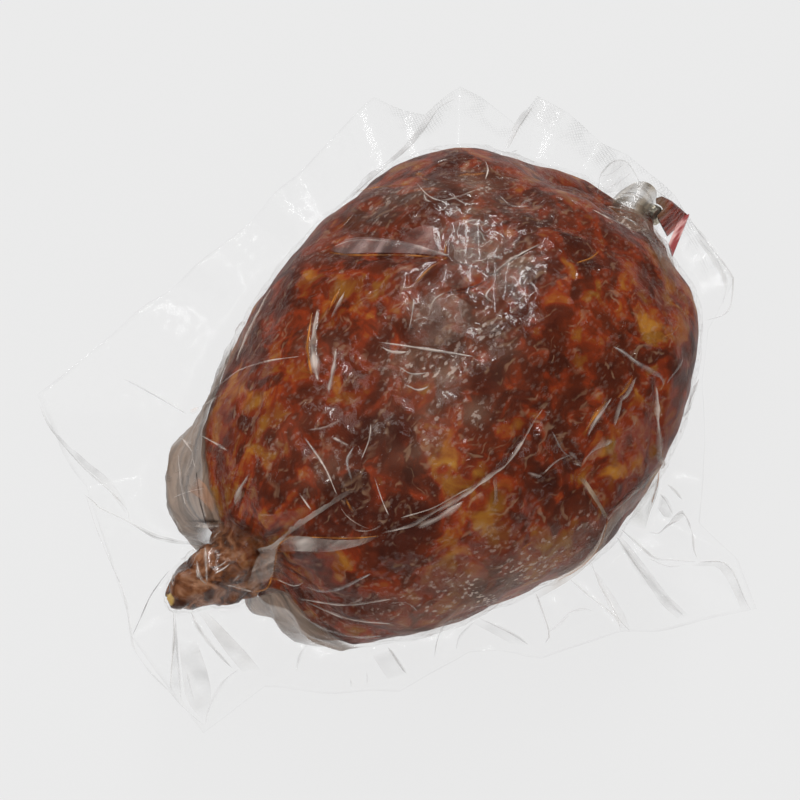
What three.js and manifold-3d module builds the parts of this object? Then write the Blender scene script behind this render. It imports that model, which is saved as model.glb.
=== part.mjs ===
// A cold-smoked sausage in a clear vacuum pouch: an egg-shaped piece of coarse mince in a wide
// natural casing. One end is tied off into a short twisted tail, the other is closed by a metal
// clip with a folded ribbon of empty casing beyond it. The pouch is two sheets of film, drawn
// tight over the sausage and welded into a wavy border that stands out all round it.
// Millimetres, Z up. X runs along the sausage, from the tied end to the clipped end. The origin
// is the middle of the small flat spot that the sausage rests on.
import * as THREE from 'three';
import { mergeVertices } from 'three/addons/utils/BufferGeometryUtils.js';
import Module from 'manifold-3d';

// The sausage
const widestAt = 8; // it is widest a little towards the clip
const tiedHalf = 79; // from there to the casing shoulders round the tail
const clipHalf = 65; // from there to the end that the clip closes
const halfWidth = 54.5;
const halfHeight = 42.6;
const restSink = 2; // how far the soft underside is pressed flat
const midHeight = halfHeight - restSink;
const tiedBluntness = 2.2; // 2 is an ellipse, more is blunter
const clipBluntness = 1.95;
const dimpleDepth = 9; // the tail starts in a dimple
const dimpleRadius = 0.3; // as a share of the sausage's own radius
const sausageAround = 76;
const sausageAlong = 42;
// Gathers in the casing round each end: how many, how high, and how far from the end they reach
const pleats = [
  { end: -1, count: 13, height: 1.4, reach: 0.62 },
  { end: 1, count: 11, height: 0.9, reach: 0.4 },
];
// Where the mince packs fuller or flatter than an egg: the way the place faces, in degrees in
// plan and upwards, how far round it spreads, and how far it stands out
const bulges = [
  { plan: 10, upward: 30, spread: 24, lift: -17.5 },
  { plan: 46, upward: 30, spread: 18, lift: 3 },
  { plan: -48, upward: 0, spread: 24, lift: -8.5 },
  { plan: 118, upward: 8, spread: 16, lift: -4 },
  { plan: 137, upward: -2, spread: 17, lift: 8.5 },
  { plan: -178, upward: -25, spread: 24, lift: 7 },
  { plan: -100, upward: -26, spread: 30, lift: -3 },
];
// Slow waves in the surface: wavelength, height, direction and phase
const lumps = [
  { length: 52, height: 0.9, way: [0.8, 0.5, 0.33], phase: 0.4 },
  { length: 43, height: 0.8, way: [-0.3, 0.9, 0.3], phase: 2.1 },
  { length: 33, height: 0.6, way: [0.5, -0.55, 0.67], phase: 4.0 },
  { length: 27, height: 0.45, way: [0.9, 0.2, -0.4], phase: 1.2 },
  { length: 21, height: 0.35, way: [0.15, 0.75, 0.64], phase: 5.3 },
];

// The tail: places along its middle line and its radius there
const tail = {
  around: 18,
  knobs: 0.1,
  places: [
    { x: -54, y: 5, z: 41, radius: 5 },
    { x: -61, y: 7, z: 42, radius: 5.4 },
    { x: -67, y: 8.5, z: 42.5, radius: 7.2 },
    { x: -74, y: 10, z: 42, radius: 6.9 },
    { x: -80, y: 11.5, z: 41, radius: 6.2 },
    { x: -86, y: 13, z: 39.5, radius: 4.4 },
    { x: -88.5, y: 13.6, z: 38.8, radius: 2.2 },
  ],
};
// The end of the casing, folded back under the tail
const foldedEnd = {
  around: 14,
  knobs: 0.08,
  places: [
    { x: -60, y: 2.5, z: 37, radius: 3.2 },
    { x: -67, y: 2.5, z: 37, radius: 3.8 },
    { x: -74, y: 4, z: 36.6, radius: 3.6 },
    { x: -80, y: 6, z: 36, radius: 2.4 },
  ],
};

// The casing gathered into the clip
const clipNeck = {
  around: 12,
  knobs: 0.06,
  places: [
    { x: 62, y: -1, z: 38, radius: 8 },
    { x: 68.5, y: -1.4, z: 37.6, radius: 5.6 },
    { x: 73.4, y: -1.8, z: 37.2, radius: 2.6 },
  ],
};

// The clip, a short barrel, and the ribbon of empty casing that is folded over beyond it
const gap = 0.35; // between pieces that lie against each other
const clip = { x: 74.3, y: -1.8, z: 37, length: 4.6, radius: 2.7, lean: 0.5, around: 16 };
const ribbonThickness = 0.9;
const ribbonLegs = [
  {
    height: 38.6,
    slopeX: 0.1,
    slopeY: 0.12,
    corners: [[77.4, -0.5], [78.8, -1.2], [79.5, -3.9], [79.3, -9.7], [71.7, -9], [74.1, -3.3]],
  },
  {
    height: 38.2,
    slopeX: 0.16,
    slopeY: 0.05,
    corners: [[79.3, -9.8], [77.2, -8.4], [69.8, -11], [67.9, -13.8]],
  },
];

// The border of the pouch: the corners of its wavy edge, going round from the clipped end.
// reach is from the sausage's middle and height is above what the sausage rests on.
const pouchEdge = [
  { angle: -3, reach: 80.5, height: 41 },
  { angle: 2, reach: 80, height: 43 },
  { angle: 8, reach: 80.5, height: 45 },
  { angle: 15, reach: 84.5, height: 40 },
  { angle: 27, reach: 88.5, height: 45 },
  { angle: 30, reach: 83.5, height: 38 },
  { angle: 36.5, reach: 87.5, height: 42 },
  { angle: 40, reach: 88.5, height: 44 },
  { angle: 46, reach: 84.5, height: 38 },
  { angle: 54, reach: 90.5, height: 40 },
  { angle: 91, reach: 71.5, height: 40 },
  { angle: 132, reach: 101.5, height: 42 },
  { angle: 140, reach: 96, height: 36 },
  { angle: 149, reach: 92.5, height: 44 },
  { angle: 167, reach: 96, height: 36 },
  { angle: 173, reach: 101.5, height: 42 },
  { angle: 188, reach: 106.5, height: 36 },
  { angle: 193, reach: 93, height: 45 },
  { angle: 204, reach: 83.5, height: 39 },
  { angle: 212, reach: 79, height: 35 },
  { angle: 224, reach: 71, height: 43 },
  { angle: 238, reach: 72.5, height: 37 },
  { angle: 252, reach: 77, height: 43 },
  { angle: 264, reach: 83, height: 37 },
  { angle: 272, reach: 92.5, height: 41 },
  { angle: 276.5, reach: 82, height: 44 },
  { angle: 282, reach: 68, height: 37 },
  { angle: 289, reach: 65, height: 41 },
  { angle: 300, reach: 62.5, height: 38 },
  { angle: 318, reach: 62, height: 36 },
  { angle: 329, reach: 66.5, height: 38 },
  { angle: 336, reach: 77, height: 42 },
  { angle: 349, reach: 79, height: 39 },
];
const borderHeight = 41; // where the two sheets meet round the sausage
const filmThickness = 1.1;
const weldThickness = 4.2; // of the border where the two sheets leave the sausage
const weldFade = 6; // how far out the sheets go on closing on each other
const innerShare = 0.8; // the border is made from this far out inside the sausage, then cut
const stepLength = 3.4; // along the edge
const stepsOut = 6;
const ripples = [
  { count: 19, height: 0.9, phase: 0.7 },
  { count: 31, height: 0.5, phase: 2.9 },
];

const wasm = await Module();
wasm.setup();

// A three.js geometry as a solid for joining and cutting.
function toSolid(geometry) {
  const bare = geometry.clone();
  bare.deleteAttribute('normal');
  bare.deleteAttribute('uv');
  const merged = mergeVertices(bare, 1e-4);
  return new wasm.Manifold(
    new wasm.Mesh({
      numProp: 3,
      vertProperties: merged.attributes.position.array,
      triVerts: Uint32Array.from(merged.index.array),
    }),
  );
}

function toGeometry(solid) {
  const { vertProperties, triVerts } = solid.getMesh();
  const geometry = new THREE.BufferGeometry();
  geometry.setAttribute('position', new THREE.BufferAttribute(vertProperties, 3));
  geometry.setIndex(new THREE.BufferAttribute(triVerts, 1));
  geometry.computeVertexNormals();
  return geometry;
}

// The direction that faces this way in plan and this far upwards, both in degrees.
function facing(plan, upward) {
  const turn = THREE.MathUtils.degToRad(plan);
  const rise = THREE.MathUtils.degToRad(upward);
  const level = Math.cos(rise);
  return new THREE.Vector3(level * Math.cos(turn), level * Math.sin(turn), Math.sin(rise));
}

// How far the slow waves lift the surface at a point.
function lumpAt(point) {
  let lift = 0;
  for (const { length, height, way, phase } of lumps) {
    const along = point.x * way[0] + point.y * way[1] + point.z * way[2];
    lift += height * Math.sin((2 * Math.PI * along) / length + phase);
  }
  return lift;
}

// How much fuller the sausage is where its surface faces this way.
function bulgeAt(outward) {
  let lift = 0;
  for (const bulge of bulges) {
    const away = THREE.MathUtils.radToDeg(facing(bulge.plan, bulge.upward).angleTo(outward));
    lift += bulge.lift * Math.exp(-((away / bulge.spread) ** 2));
  }
  return lift;
}

function pleatAt(end, ringRadius, turn) {
  let lift = 0;
  for (const pleat of pleats) {
    if (pleat.end === end && ringRadius < pleat.reach) {
      const fade = Math.sin((Math.PI * ringRadius) / pleat.reach);
      lift += pleat.height * fade * Math.cos(pleat.count * turn);
    }
  }
  return lift;
}

// Takes a point of the unit sphere to the sausage's surface, swollen by extra all round.
function onSausage(unit, extra) {
  const end = unit.x < 0 ? -1 : 1;
  const half = end < 0 ? tiedHalf : clipHalf;
  const blunt = end < 0 ? tiedBluntness : clipBluntness;
  const radial = Math.hypot(unit.y, unit.z);
  const share = (Math.abs(unit.x) ** blunt + radial ** blunt) ** (-1 / blunt);
  const ringRadius = radial * share;
  const point = new THREE.Vector3(unit.x * half, unit.y * halfWidth, unit.z * halfHeight);
  point.multiplyScalar(share);
  const outward = new THREE.Vector3(unit.x / half, unit.y / halfWidth, unit.z / halfHeight);
  outward.normalize();
  const pleat = pleatAt(end, ringRadius, Math.atan2(unit.z, unit.y));
  point.addScaledVector(outward, lumpAt(point) + bulgeAt(outward) + pleat + extra);
  if (end < 0) {
    point.x += dimpleDepth * Math.exp(-((ringRadius / dimpleRadius) ** 2));
  }
  point.x += widestAt;
  point.z += midHeight;
  return point;
}

// The body: a sphere with its poles on X, shaped by onSausage. Its underside is pressed flat.
function bodyGeometry(extra) {
  const geometry = new THREE.SphereGeometry(1, sausageAround, sausageAlong);
  geometry.rotateZ(-Math.PI / 2);
  const position = geometry.attributes.position;
  for (let i = 0; i < position.count; i += 1) {
    const unit = new THREE.Vector3().fromBufferAttribute(position, i).normalize();
    const point = onSausage(unit, extra);
    position.setXYZ(i, point.x, point.y, Math.max(point.z, -extra));
  }
  return geometry;
}

// A knobbly rod through a row of places, closed at both ends.
function rodGeometry({ places, around, knobs }, extra) {
  const line = new THREE.CatmullRomCurve3(places.map((p) => new THREE.Vector3(p.x, p.y, p.z)));
  const steps = (places.length - 1) * 3;
  const profile = [new THREE.Vector2(0, 0)];
  for (let i = 1; i < steps; i += 1) {
    profile.push(new THREE.Vector2(1, i / steps));
  }
  profile.push(new THREE.Vector2(0, 1));
  const geometry = new THREE.LatheGeometry(profile, around);
  const frames = line.computeFrenetFrames(steps, false);
  const position = geometry.attributes.position;
  for (let i = 0; i < position.count; i += 1) {
    const step = Math.round(position.getY(i) * steps);
    const place = (step / steps) * (places.length - 1);
    const before = Math.min(Math.floor(place), places.length - 2);
    const from = places[before].radius;
    const to = places[before + 1].radius;
    const turn = Math.atan2(position.getX(i), position.getZ(i));
    const onAxis = step === 0 || step === steps;
    const knob = 1 + knobs * Math.sin(3 * turn + step) * Math.cos(2 * turn - 0.7 * step);
    const radius = onAxis ? 0 : (from + (to - from) * (place - before)) * knob + extra;
    const lengthen = onAxis ? extra * Math.sign(step - 0.5) : 0;
    const middle = line.getPoint(step / steps);
    middle.addScaledVector(frames.tangents[step], lengthen);
    middle.addScaledVector(frames.normals[step], radius * Math.cos(turn));
    middle.addScaledVector(frames.binormals[step], radius * Math.sin(turn));
    position.setXYZ(i, middle.x, middle.y, middle.z);
  }
  return geometry;
}

// Each piece comes swollen by extra, to cut its neighbours clear of it, or by 0 as it is.
function sausageSolid(extra) {
  const rods = [tail, foldedEnd, clipNeck].map((rod) => toSolid(rodGeometry(rod, extra)));
  return rods.reduce((whole, rod) => whole.add(rod), toSolid(bodyGeometry(extra)));
}

function clipSolid(extra) {
  const half = clip.length / 2 + extra;
  const profile = [new THREE.Vector2(0, -half)];
  for (let along = -1; along <= 1; along += 0.25) {
    const round = 0.7 + 0.3 * Math.sqrt(1 - along * along);
    profile.push(new THREE.Vector2(clip.radius * round + extra, along * half));
  }
  profile.push(new THREE.Vector2(0, half));
  const geometry = new THREE.LatheGeometry(profile, clip.around);
  geometry.rotateX(-clip.lean);
  geometry.translate(clip.x, clip.y, clip.z);
  return toSolid(geometry);
}

// One flat leg of the ribbon, laid at a slope.
function legSolid({ height, slopeX, slopeY, corners }, extra) {
  const middle = new THREE.Vector2();
  const outline = corners.map(([x, y]) => new THREE.Vector2(x, y));
  outline.forEach((corner) => middle.addScaledVector(corner, 1 / outline.length));
  const swollen = outline.map((corner) => {
    const out = corner.clone().sub(middle).setLength(2 * extra);
    return corner.clone().add(out);
  });
  const depth = ribbonThickness + 2 * extra;
  const flat = new THREE.Shape(swollen);
  const geometry = new THREE.ExtrudeGeometry(flat, { depth, bevelEnabled: false });
  const position = geometry.attributes.position;
  for (let i = 0; i < position.count; i += 1) {
    const rise = slopeX * (position.getX(i) - middle.x) + slopeY * (position.getY(i) - middle.y);
    position.setZ(i, position.getZ(i) + height - depth / 2 + rise);
  }
  return toSolid(geometry);
}

function ribbonSolid(extra) {
  return legSolid(ribbonLegs[0], extra).add(legSolid(ribbonLegs[1], extra));
}

// The wavy edge as points about stepLength apart, straight from corner to corner.
function edgePoints() {
  const corners = pouchEdge.map(({ angle, reach, height }) => {
    const corner = facing(angle, 0).multiplyScalar(reach);
    return corner.setZ(height);
  });
  const points = [];
  corners.forEach((corner, i) => {
    const next = corners[(i + 1) % corners.length];
    const steps = Math.max(1, Math.round(corner.distanceTo(next) / stepLength));
    for (let step = 0; step < steps; step += 1) {
      points.push(corner.clone().lerp(next, step / steps));
    }
  });
  return points;
}

// How far the sausage reaches at half its height, the way that an angle points.
function rootReach(angle) {
  const x = Math.cos(angle);
  const half = x < 0 ? tiedHalf : clipHalf;
  const blunt = x < 0 ? tiedBluntness : clipBluntness;
  const long = Math.abs(x / half) ** blunt;
  const wide = Math.abs(Math.sin(angle) / halfWidth) ** blunt;
  return (long + wide) ** (-1 / blunt);
}

// The border: a thin wavy plate. Its two faces are split into triangles alike.
function borderGeometry() {
  const edge = edgePoints();
  const row = stepsOut + 1;
  const points = [];
  for (const side of [1, -1]) {
    for (const tip of edge) {
      const angle = Math.atan2(tip.y, tip.x);
      const reach = Math.hypot(tip.x, tip.y);
      const root = rootReach(angle);
      for (let j = 0; j < row; j += 1) {
        const inner = root * innerShare;
        const here = inner + ((reach - inner) * j) / stepsOut;
        const beyond = Math.max(0, here - root);
        const out = beyond / Math.max(reach - root, 1);
        let height = borderHeight + (tip.z - borderHeight) * out;
        for (const ripple of ripples) {
          height += ripple.height * out * Math.sin(ripple.count * angle + ripple.phase);
        }
        const closing = Math.exp(-((beyond / weldFade) ** 2));
        const thickness = filmThickness + (weldThickness - filmThickness) * closing;
        const share = here / reach;
        points.push(tip.x * share, tip.y * share, height + (side * thickness) / 2);
      }
    }
  }
  const count = edge.length;
  const at = (side, i, j) => (side * count + (i % count)) * row + j;
  const faces = [];
  const quad = (a, b, c, d) => faces.push(a, b, c, a, c, d);
  for (let i = 0; i < count; i += 1) {
    for (let j = 0; j < stepsOut; j += 1) {
      quad(at(0, i, j), at(0, i, j + 1), at(0, i + 1, j + 1), at(0, i + 1, j));
      faces.push(at(1, i, j), at(1, i + 1, j + 1), at(1, i, j + 1));
      faces.push(at(1, i, j), at(1, i + 1, j), at(1, i + 1, j + 1));
    }
    quad(at(0, i, stepsOut), at(1, i, stepsOut), at(1, i + 1, stepsOut), at(0, i + 1, stepsOut));
    quad(at(0, i, 0), at(0, i + 1, 0), at(1, i + 1, 0), at(1, i, 0));
  }
  const geometry = new THREE.BufferGeometry();
  geometry.setAttribute('position', new THREE.Float32BufferAttribute(points, 3));
  geometry.setIndex(faces);
  return geometry;
}

const looks = {
  sausage: { color: 0x5c1c0e, roughness: 0.3 },
  end_clip: { color: 0xb9b3a4, roughness: 0.3, metalness: 0.9 },
  casing_ribbon: { color: 0x6e1a12, roughness: 0.35 },
  vacuum_bag: { color: 0xdfe3e6, roughness: 0.15 },
};

const sausageClear = sausageSolid(gap);
const clipClear = clipSolid(gap);
const solids = {
  sausage: sausageSolid(0),
  end_clip: clipSolid(0).subtract(sausageClear),
  casing_ribbon: ribbonSolid(0).subtract(sausageClear).subtract(clipClear),
  vacuum_bag: toSolid(borderGeometry())
    .subtract(sausageClear)
    .subtract(clipClear)
    .subtract(ribbonSolid(gap)),
};

const group = new THREE.Group();
for (const [name, solid] of Object.entries(solids)) {
  const mesh = new THREE.Mesh(toGeometry(solid), new THREE.MeshStandardMaterial(looks[name]));
  mesh.name = name;
  group.add(mesh);
}

export default group;
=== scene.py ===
# A cold-smoked sausage in a clear vacuum pouch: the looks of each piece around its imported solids.
# Metres, Z up. X runs along the sausage, from the tied end to the clipped end.
import math
import random

import bmesh
import bpy
import numpy as np
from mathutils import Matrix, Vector, noise
from mathutils.bvhtree import BVHTree
from mathutils.kdtree import KDTree


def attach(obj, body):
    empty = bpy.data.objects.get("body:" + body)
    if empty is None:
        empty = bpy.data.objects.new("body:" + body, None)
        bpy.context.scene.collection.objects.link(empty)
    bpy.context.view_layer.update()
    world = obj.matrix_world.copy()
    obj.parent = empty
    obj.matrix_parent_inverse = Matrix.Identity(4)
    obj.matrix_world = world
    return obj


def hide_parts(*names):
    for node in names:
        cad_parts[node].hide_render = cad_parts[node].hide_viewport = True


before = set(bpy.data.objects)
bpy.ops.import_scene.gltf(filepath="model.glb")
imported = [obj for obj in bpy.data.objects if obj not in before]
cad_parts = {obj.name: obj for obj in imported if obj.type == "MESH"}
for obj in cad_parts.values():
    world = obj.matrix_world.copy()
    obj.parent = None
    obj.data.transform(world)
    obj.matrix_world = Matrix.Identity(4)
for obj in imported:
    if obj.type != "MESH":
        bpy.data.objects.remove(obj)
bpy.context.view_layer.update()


# The camera
# The sausage was photographed from well above and from its tied end's side, with a long lens.
# A pixel of the photograph, counted in a frame of 800 by 800, is a direction from its eye.
FRAME_SIDE = 800
SENSOR = 0.036
LENS = 0.16605
EYE = Vector((-0.3470, -0.2898, 0.8203))
AIM = Vector((-0.00999, 0.00842, 0.0409))

camera = bpy.data.objects.new("camera", bpy.data.cameras.new("camera"))
camera.data.sensor_width = SENSOR * 1000
camera.data.lens = LENS * 1000
camera.data.clip_end = 20
camera.location = EYE
camera.rotation_euler = (AIM - EYE).to_track_quat("-Z", "Y").to_euler()
bpy.context.scene.collection.objects.link(camera)
bpy.context.scene.camera = camera
bpy.context.view_layer.update()


def sight(px, py):
    """The direction from the eye through a pixel of the photograph."""
    turn = camera.matrix_world.to_3x3()
    spread = SENSOR / LENS / FRAME_SIDE
    half = FRAME_SIDE / 2
    return (turn @ Vector(((px - half) * spread, (half - py) * spread, -1))).normalized()


def seen_at_height(px, py, height):
    """The point at a height above the floor that shows at a pixel."""
    way = sight(px, py)
    return EYE + way * ((height - EYE.z) / way.z)


def pixel_of(point):
    """The pixel at which a point shows, and the size of a pixel there."""
    seen = camera.matrix_world.inverted() @ point
    step = SENSOR / LENS / FRAME_SIDE * -seen.z
    return Vector((seen.x / step + FRAME_SIDE / 2, FRAME_SIDE / 2 - seen.y / step)), step


# The table and the light
# A pale table under a dim tall softbox and a bright narrow one, which hang beyond the sausage and
# mirror in the film on its top. Two wide soft lights fill the shadows without showing in the film.
TABLE_GREY = 0.831
TABLE_REACH = 3.0

bm = bmesh.new()
bmesh.ops.create_grid(bm, x_segments=1, y_segments=1, size=TABLE_REACH)
table = bpy.data.objects.new("table", bpy.data.meshes.new("table"))
bm.to_mesh(table.data)
bm.free()
bpy.context.scene.collection.objects.link(table)

table_finish = bpy.data.materials.new("pale_table")
table_finish.use_nodes = True
nodes, links = table_finish.node_tree.nodes, table_finish.node_tree.links
nodes.clear()
glow = nodes.new("ShaderNodeEmission")
glow.inputs["Color"].default_value = (TABLE_GREY, TABLE_GREY, TABLE_GREY, 1)
glow.inputs["Strength"].default_value = 0.93
matt = nodes.new("ShaderNodeBsdfDiffuse")
matt.inputs["Color"].default_value = (0.05, 0.05, 0.05, 1)
both = nodes.new("ShaderNodeAddShader")
out = nodes.new("ShaderNodeOutputMaterial")
links.new(glow.outputs[0], both.inputs[0])
links.new(matt.outputs[0], both.inputs[1])
links.new(both.outputs[0], out.inputs["Surface"])
table.data.materials.append(table_finish)


def softbox(name, bearing, rise, distance, size, power, mirrored):
    """A rectangle of light aimed at the sausage. bearing is from +X, rise from the table."""
    lamp = bpy.data.objects.new(name, bpy.data.lights.new(name, "AREA"))
    lamp.data.shape = "RECTANGLE"
    lamp.data.size, lamp.data.size_y = size
    lamp.data.energy = power
    level = math.cos(math.radians(rise))
    way = Vector((level * math.cos(math.radians(bearing)),
                  level * math.sin(math.radians(bearing)), math.sin(math.radians(rise))))
    lamp.location = AIM + way * distance
    lamp.rotation_euler = (-way).to_track_quat("-Z", "Y").to_euler()
    lamp.visible_glossy = mirrored
    bpy.context.scene.collection.objects.link(lamp)


VIEW_BEARING = 41.5  # where the camera looks to, in plan
softbox("tall_softbox", VIEW_BEARING, 56, 1.2, (0.6, 1.5), 4, True)
softbox("narrow_softbox", VIEW_BEARING - 6, 50, 1.2, (0.12, 1.0), 5, True)
softbox("left_fill", VIEW_BEARING + 120, 55, 1.4, (1.4, 1.4), 9, False)
softbox("front_fill", VIEW_BEARING + 200, 60, 1.4, (1.4, 1.4), 9, False)

world = bpy.data.worlds.new("dim_studio")
world.use_nodes = True
world.node_tree.nodes["Background"].inputs["Color"].default_value = (1, 1, 1, 1)
world.node_tree.nodes["Background"].inputs["Strength"].default_value = 0.12
bpy.context.scene.world = world
bpy.context.scene.view_settings.view_transform = "Standard"
bpy.context.scene.cycles.transparent_max_bounces = 16


# The filled casing
# Coarse mince of lean and fat, stuffed into a wide natural casing, smoked until it is dark and
# glossy. Its tied end is a short brown tail, and the casing's shoulders beside it stay empty.
MINCE_GRAIN = 0.0011  # the mesh's own step
NECK = Vector((-0.062, 0.008, 0.041))
TAIL_START = -0.050
TAIL_SLANT = 0.22  # how far the tail moves along Y with each step back
TAIL_ROOM = 0.0075
FOLDED_END = Vector((-0.0750, 0.0010, 0.0375))  # the casing's end, folded back beside the tail
FOLDED_ROOM = 0.0062
# Where the mince ends in the casing's two shoulders, as pixels, and the way to the empty casing
# beyond, also in pixels
MINCE_ENDS = (
    (Vector((-1, 0)), ((256, 300), (240, 345), (218, 392), (205, 430), (204, 455), (210, 490),
                       (222, 530), (236, 560))),
    (Vector((-0.55, 0.835)), ((232, 572), (262, 588), (286, 594), (298, 605), (310, 621), (334, 637),
                              (364, 650), (400, 666))),
)
MINCE_TURNS_IN = 2.0  # pixels over which its end bends away
EMPTY_FROM = (-5, 2)  # pixels past the mince's end between which the casing turns grey
EMPTY_ABOVE = (0.014, 0.030)  # heights between which the empty shoulders fade in
EMPTY_WITHIN = (0.055, 0.040)  # distances from the neck between which they fade in
EMPTY_RISE = 0.22  # how much higher those heights are with each step along Y from the neck
# Where the tied end is cut off, as pixels along its lower side
TAIL_END = ((Vector((0, 1)), ((158, 586), (164, 599), (170, 606), (176, 607.5), (189, 608), (194, 611),
                              (206, 609), (221, 606), (240, 602))),)
CUT_END = (166, 600)
CUT_END_REACH = 0.0022

# Places where the mince is fatter or leaner than elsewhere: the pixel of the middle, how far it
# reaches in pixels, and how much fatter it is (leaner below 0)
FATTY_PLACES = (
    (262, 440, 30, 0.040), (335, 310, 20, 0.020), (300, 350, 20, 0.005), (322, 372, 22, 0.045),
    (284, 300, 30, -0.045), (412, 200, 40, -0.035), (436, 474, 20, 0.050), (492, 524, 24, 0.070), (458, 562, 26, 0.060),
    (400, 590, 26, 0.045), (460, 592, 44, 0.060), (560, 540, 30, 0.055), (350, 560, 22, 0.030),
    (600, 380, 24, 0.030), (576, 300, 24, 0.025), (625, 300, 24, 0.070), (655, 335, 26, 0.045), (640, 395, 30, 0.070),
    (622, 456, 30, 0.060), (516, 430, 18, 0.060), (592, 254, 15, 0.060), (440, 262, 14, 0.050),
    (582, 540, 24, 0.055), (320, 590, 26, 0.025), (560, 400, 20, 0.030), (238, 500, 20, 0.040),
    (384, 432, 36, -0.090), (345, 518, 30, -0.060), (402, 548, 26, -0.060), (288, 330, 30, -0.045),
    (425, 508, 28, -0.085), (655, 305, 24, -0.030), (450, 325, 40, -0.040), (300, 330, 30, -0.030),
    (380, 425, 30, -0.030),
    (380, 228, 42, -0.070), (448, 186, 42, -0.060), (574, 238, 34, -0.050), (502, 368, 42, -0.065),
    (552, 448, 30, -0.065), (384, 432, 34, -0.070), (330, 478, 34, -0.055), (345, 518, 30, -0.050),
    (402, 548, 34, -0.065), (560, 325, 36, -0.035), (592, 402, 26, -0.040), (545, 500, 28, -0.030),
    # The leaner place at (246, 348) darkens the mince along its left outline: painted shade at the edge.
    (246, 348, 22, -0.070), (690, 370, 20, -0.040), (640, 225, 24, -0.050),
)
# Places where the film is hazy, partly from air between the film and the casing and partly as a
# painted reflection of the softbox: the pixel, the reach and how much it hides
HAZE_AND_SHEEN_PLACES = (
    (478, 196, 44, 0.24), (466, 244, 26, 0.36), (510, 262, 24, 0.30), (448, 312, 40, 0.34),
    (418, 362, 34, 0.30), (455, 402, 34, 0.32), (406, 444, 28, 0.22), (350, 240, 30, 0.12),
    (400, 200, 34, 0.12), (538, 222, 20, 0.18), (480, 600, 46, 0.30), (410, 614, 38, 0.26),
    (332, 612, 32, 0.06), (246, 336, 20, 0.16), (680, 410, 24, 0.06), (288, 440, 30, 0.08),
    (520, 160, 30, 0.14), (560, 190, 26, 0.12), (330, 470, 24, 0.12), (500, 340, 22, 0.14),
    (548, 566, 34, 0.30), (318, 345, 20, 0.12), (645, 232, 20, 0.55), (622, 218, 18, 0.45),
    (660, 250, 14, 0.35), (370, 214, 26, 0.10), (508, 574, 40, 0.20), (590, 530, 26, 0.14),
)


# Valleys that the drawn film presses into the mince, as the pixels that they pass
UPPER_VALLEY = ((328, 252), (350, 255), (396, 255), (421, 256), (449, 259))
MIDDLE_VALLEY = ((452, 261), (470, 266), (494, 274), (509, 262), (532, 249), (541, 244))
AMBER_VALLEY = ((449, 256), (430, 268), (413, 286))
HOOKED_VALLEY = ((492, 275), (476, 286), (447, 293), (466, 293), (471, 299), (482, 301))
LONG_VALLEY = ((382, 536), (410, 529), (433, 516), (466, 497), (493, 477), (506, 468), (523, 444),
               (533, 426), (543, 412))
RIGHT_VALLEY = ((560, 450), (573, 462), (583, 478), (597, 500), (609, 519))
EDGE_VALLEY = ((613, 346), (626, 354), (639, 364), (659, 377), (660, 410), (655, 450))
LEFT_VALLEY = ((304, 437), (324, 466), (337, 495), (299, 522), (270, 545))
VALLEYS = (UPPER_VALLEY, MIDDLE_VALLEY, AMBER_VALLEY, HOOKED_VALLEY, LONG_VALLEY, RIGHT_VALLEY,
           EDGE_VALLEY, LEFT_VALLEY)
VALLEY_DEPTH = 0.0011
VALLEY_WIDTH = 0.0016
FOLD_STEP = 4  # pixels between the points of a fold


def merged_copy(*names):
    """The solids of some nodes as one bmesh, with their corners joined."""
    bm = bmesh.new()
    for name in names:
        bm.from_mesh(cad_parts[name].data)
    bmesh.ops.remove_doubles(bm, verts=bm.verts, dist=1e-6)
    return bm


def as_piece(name, bm):
    """A new object of this mesh, linked into the scene."""
    piece = bpy.data.objects.new(name, bpy.data.meshes.new(name))
    bm.to_mesh(piece.data)
    bm.free()
    bpy.context.scene.collection.objects.link(piece)
    return piece


def apply_modifiers(piece):
    """Makes the mesh what its modifiers show."""
    bpy.context.view_layer.update()
    shown = piece.evaluated_get(bpy.context.evaluated_depsgraph_get())
    mesh = bpy.data.meshes.new_from_object(shown)
    piece.modifiers.clear()
    piece.data = mesh
    mesh.name = piece.name


def smooth_faces(piece):
    for face in piece.data.polygons:
        face.use_smooth = True


def fade(value, start, end):
    """0 before start, 1 past end and smooth between."""
    share = min(max((value - start) / (end - start), 0), 1)
    return share * share * (3 - 2 * share)


def even_skin(name, nodes_used, grain, rounds):
    """The nodes' outer surface in even small faces, with the solid's flat faces smoothed out."""
    piece = as_piece(name, merged_copy(*nodes_used))
    remesh = piece.modifiers.new("even", "REMESH")
    remesh.mode = "VOXEL"
    remesh.voxel_size = grain
    smooth = piece.modifiers.new("smooth", "SMOOTH")
    smooth.factor = 0.5
    smooth.iterations = rounds
    apply_modifiers(piece)
    return piece


def curve_through(corners):
    """Pixels a few steps apart on a smooth curve through some corners."""
    corners = [Vector(corner) for corner in corners]
    ends = [corners[0] * 2 - corners[1], *corners, corners[-1] * 2 - corners[-2]]
    points = []
    for a, b, c, d in zip(ends, ends[1:], ends[2:], ends[3:]):
        steps = max(round((c - b).length / FOLD_STEP), 1)
        for step in range(steps):
            t = step / steps
            bend = (a * -1 + b * 3 - c * 3 + d) * t ** 3 + (a * 2 - b * 5 + c * 4 - d) * t * t
            points.append((bend + (c - a) * t + b * 2) / 2)
    return [*points, corners[-1]]


def near_tail(point):
    """1 on the tail and its folded end and 0 away from them."""
    side = NECK.y + max(NECK.x - point.x, 0) * TAIL_SLANT
    off = math.hypot(point.y - side, point.z - NECK.z)
    tail = fade(TAIL_START - point.x, 0, 0.008) * (1 - fade(off, TAIL_ROOM, TAIL_ROOM + 0.004))
    off = (point - FOLDED_END).length
    return max(tail, 1 - fade(off, FOLDED_ROOM, FOLDED_ROOM + 0.002))


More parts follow.
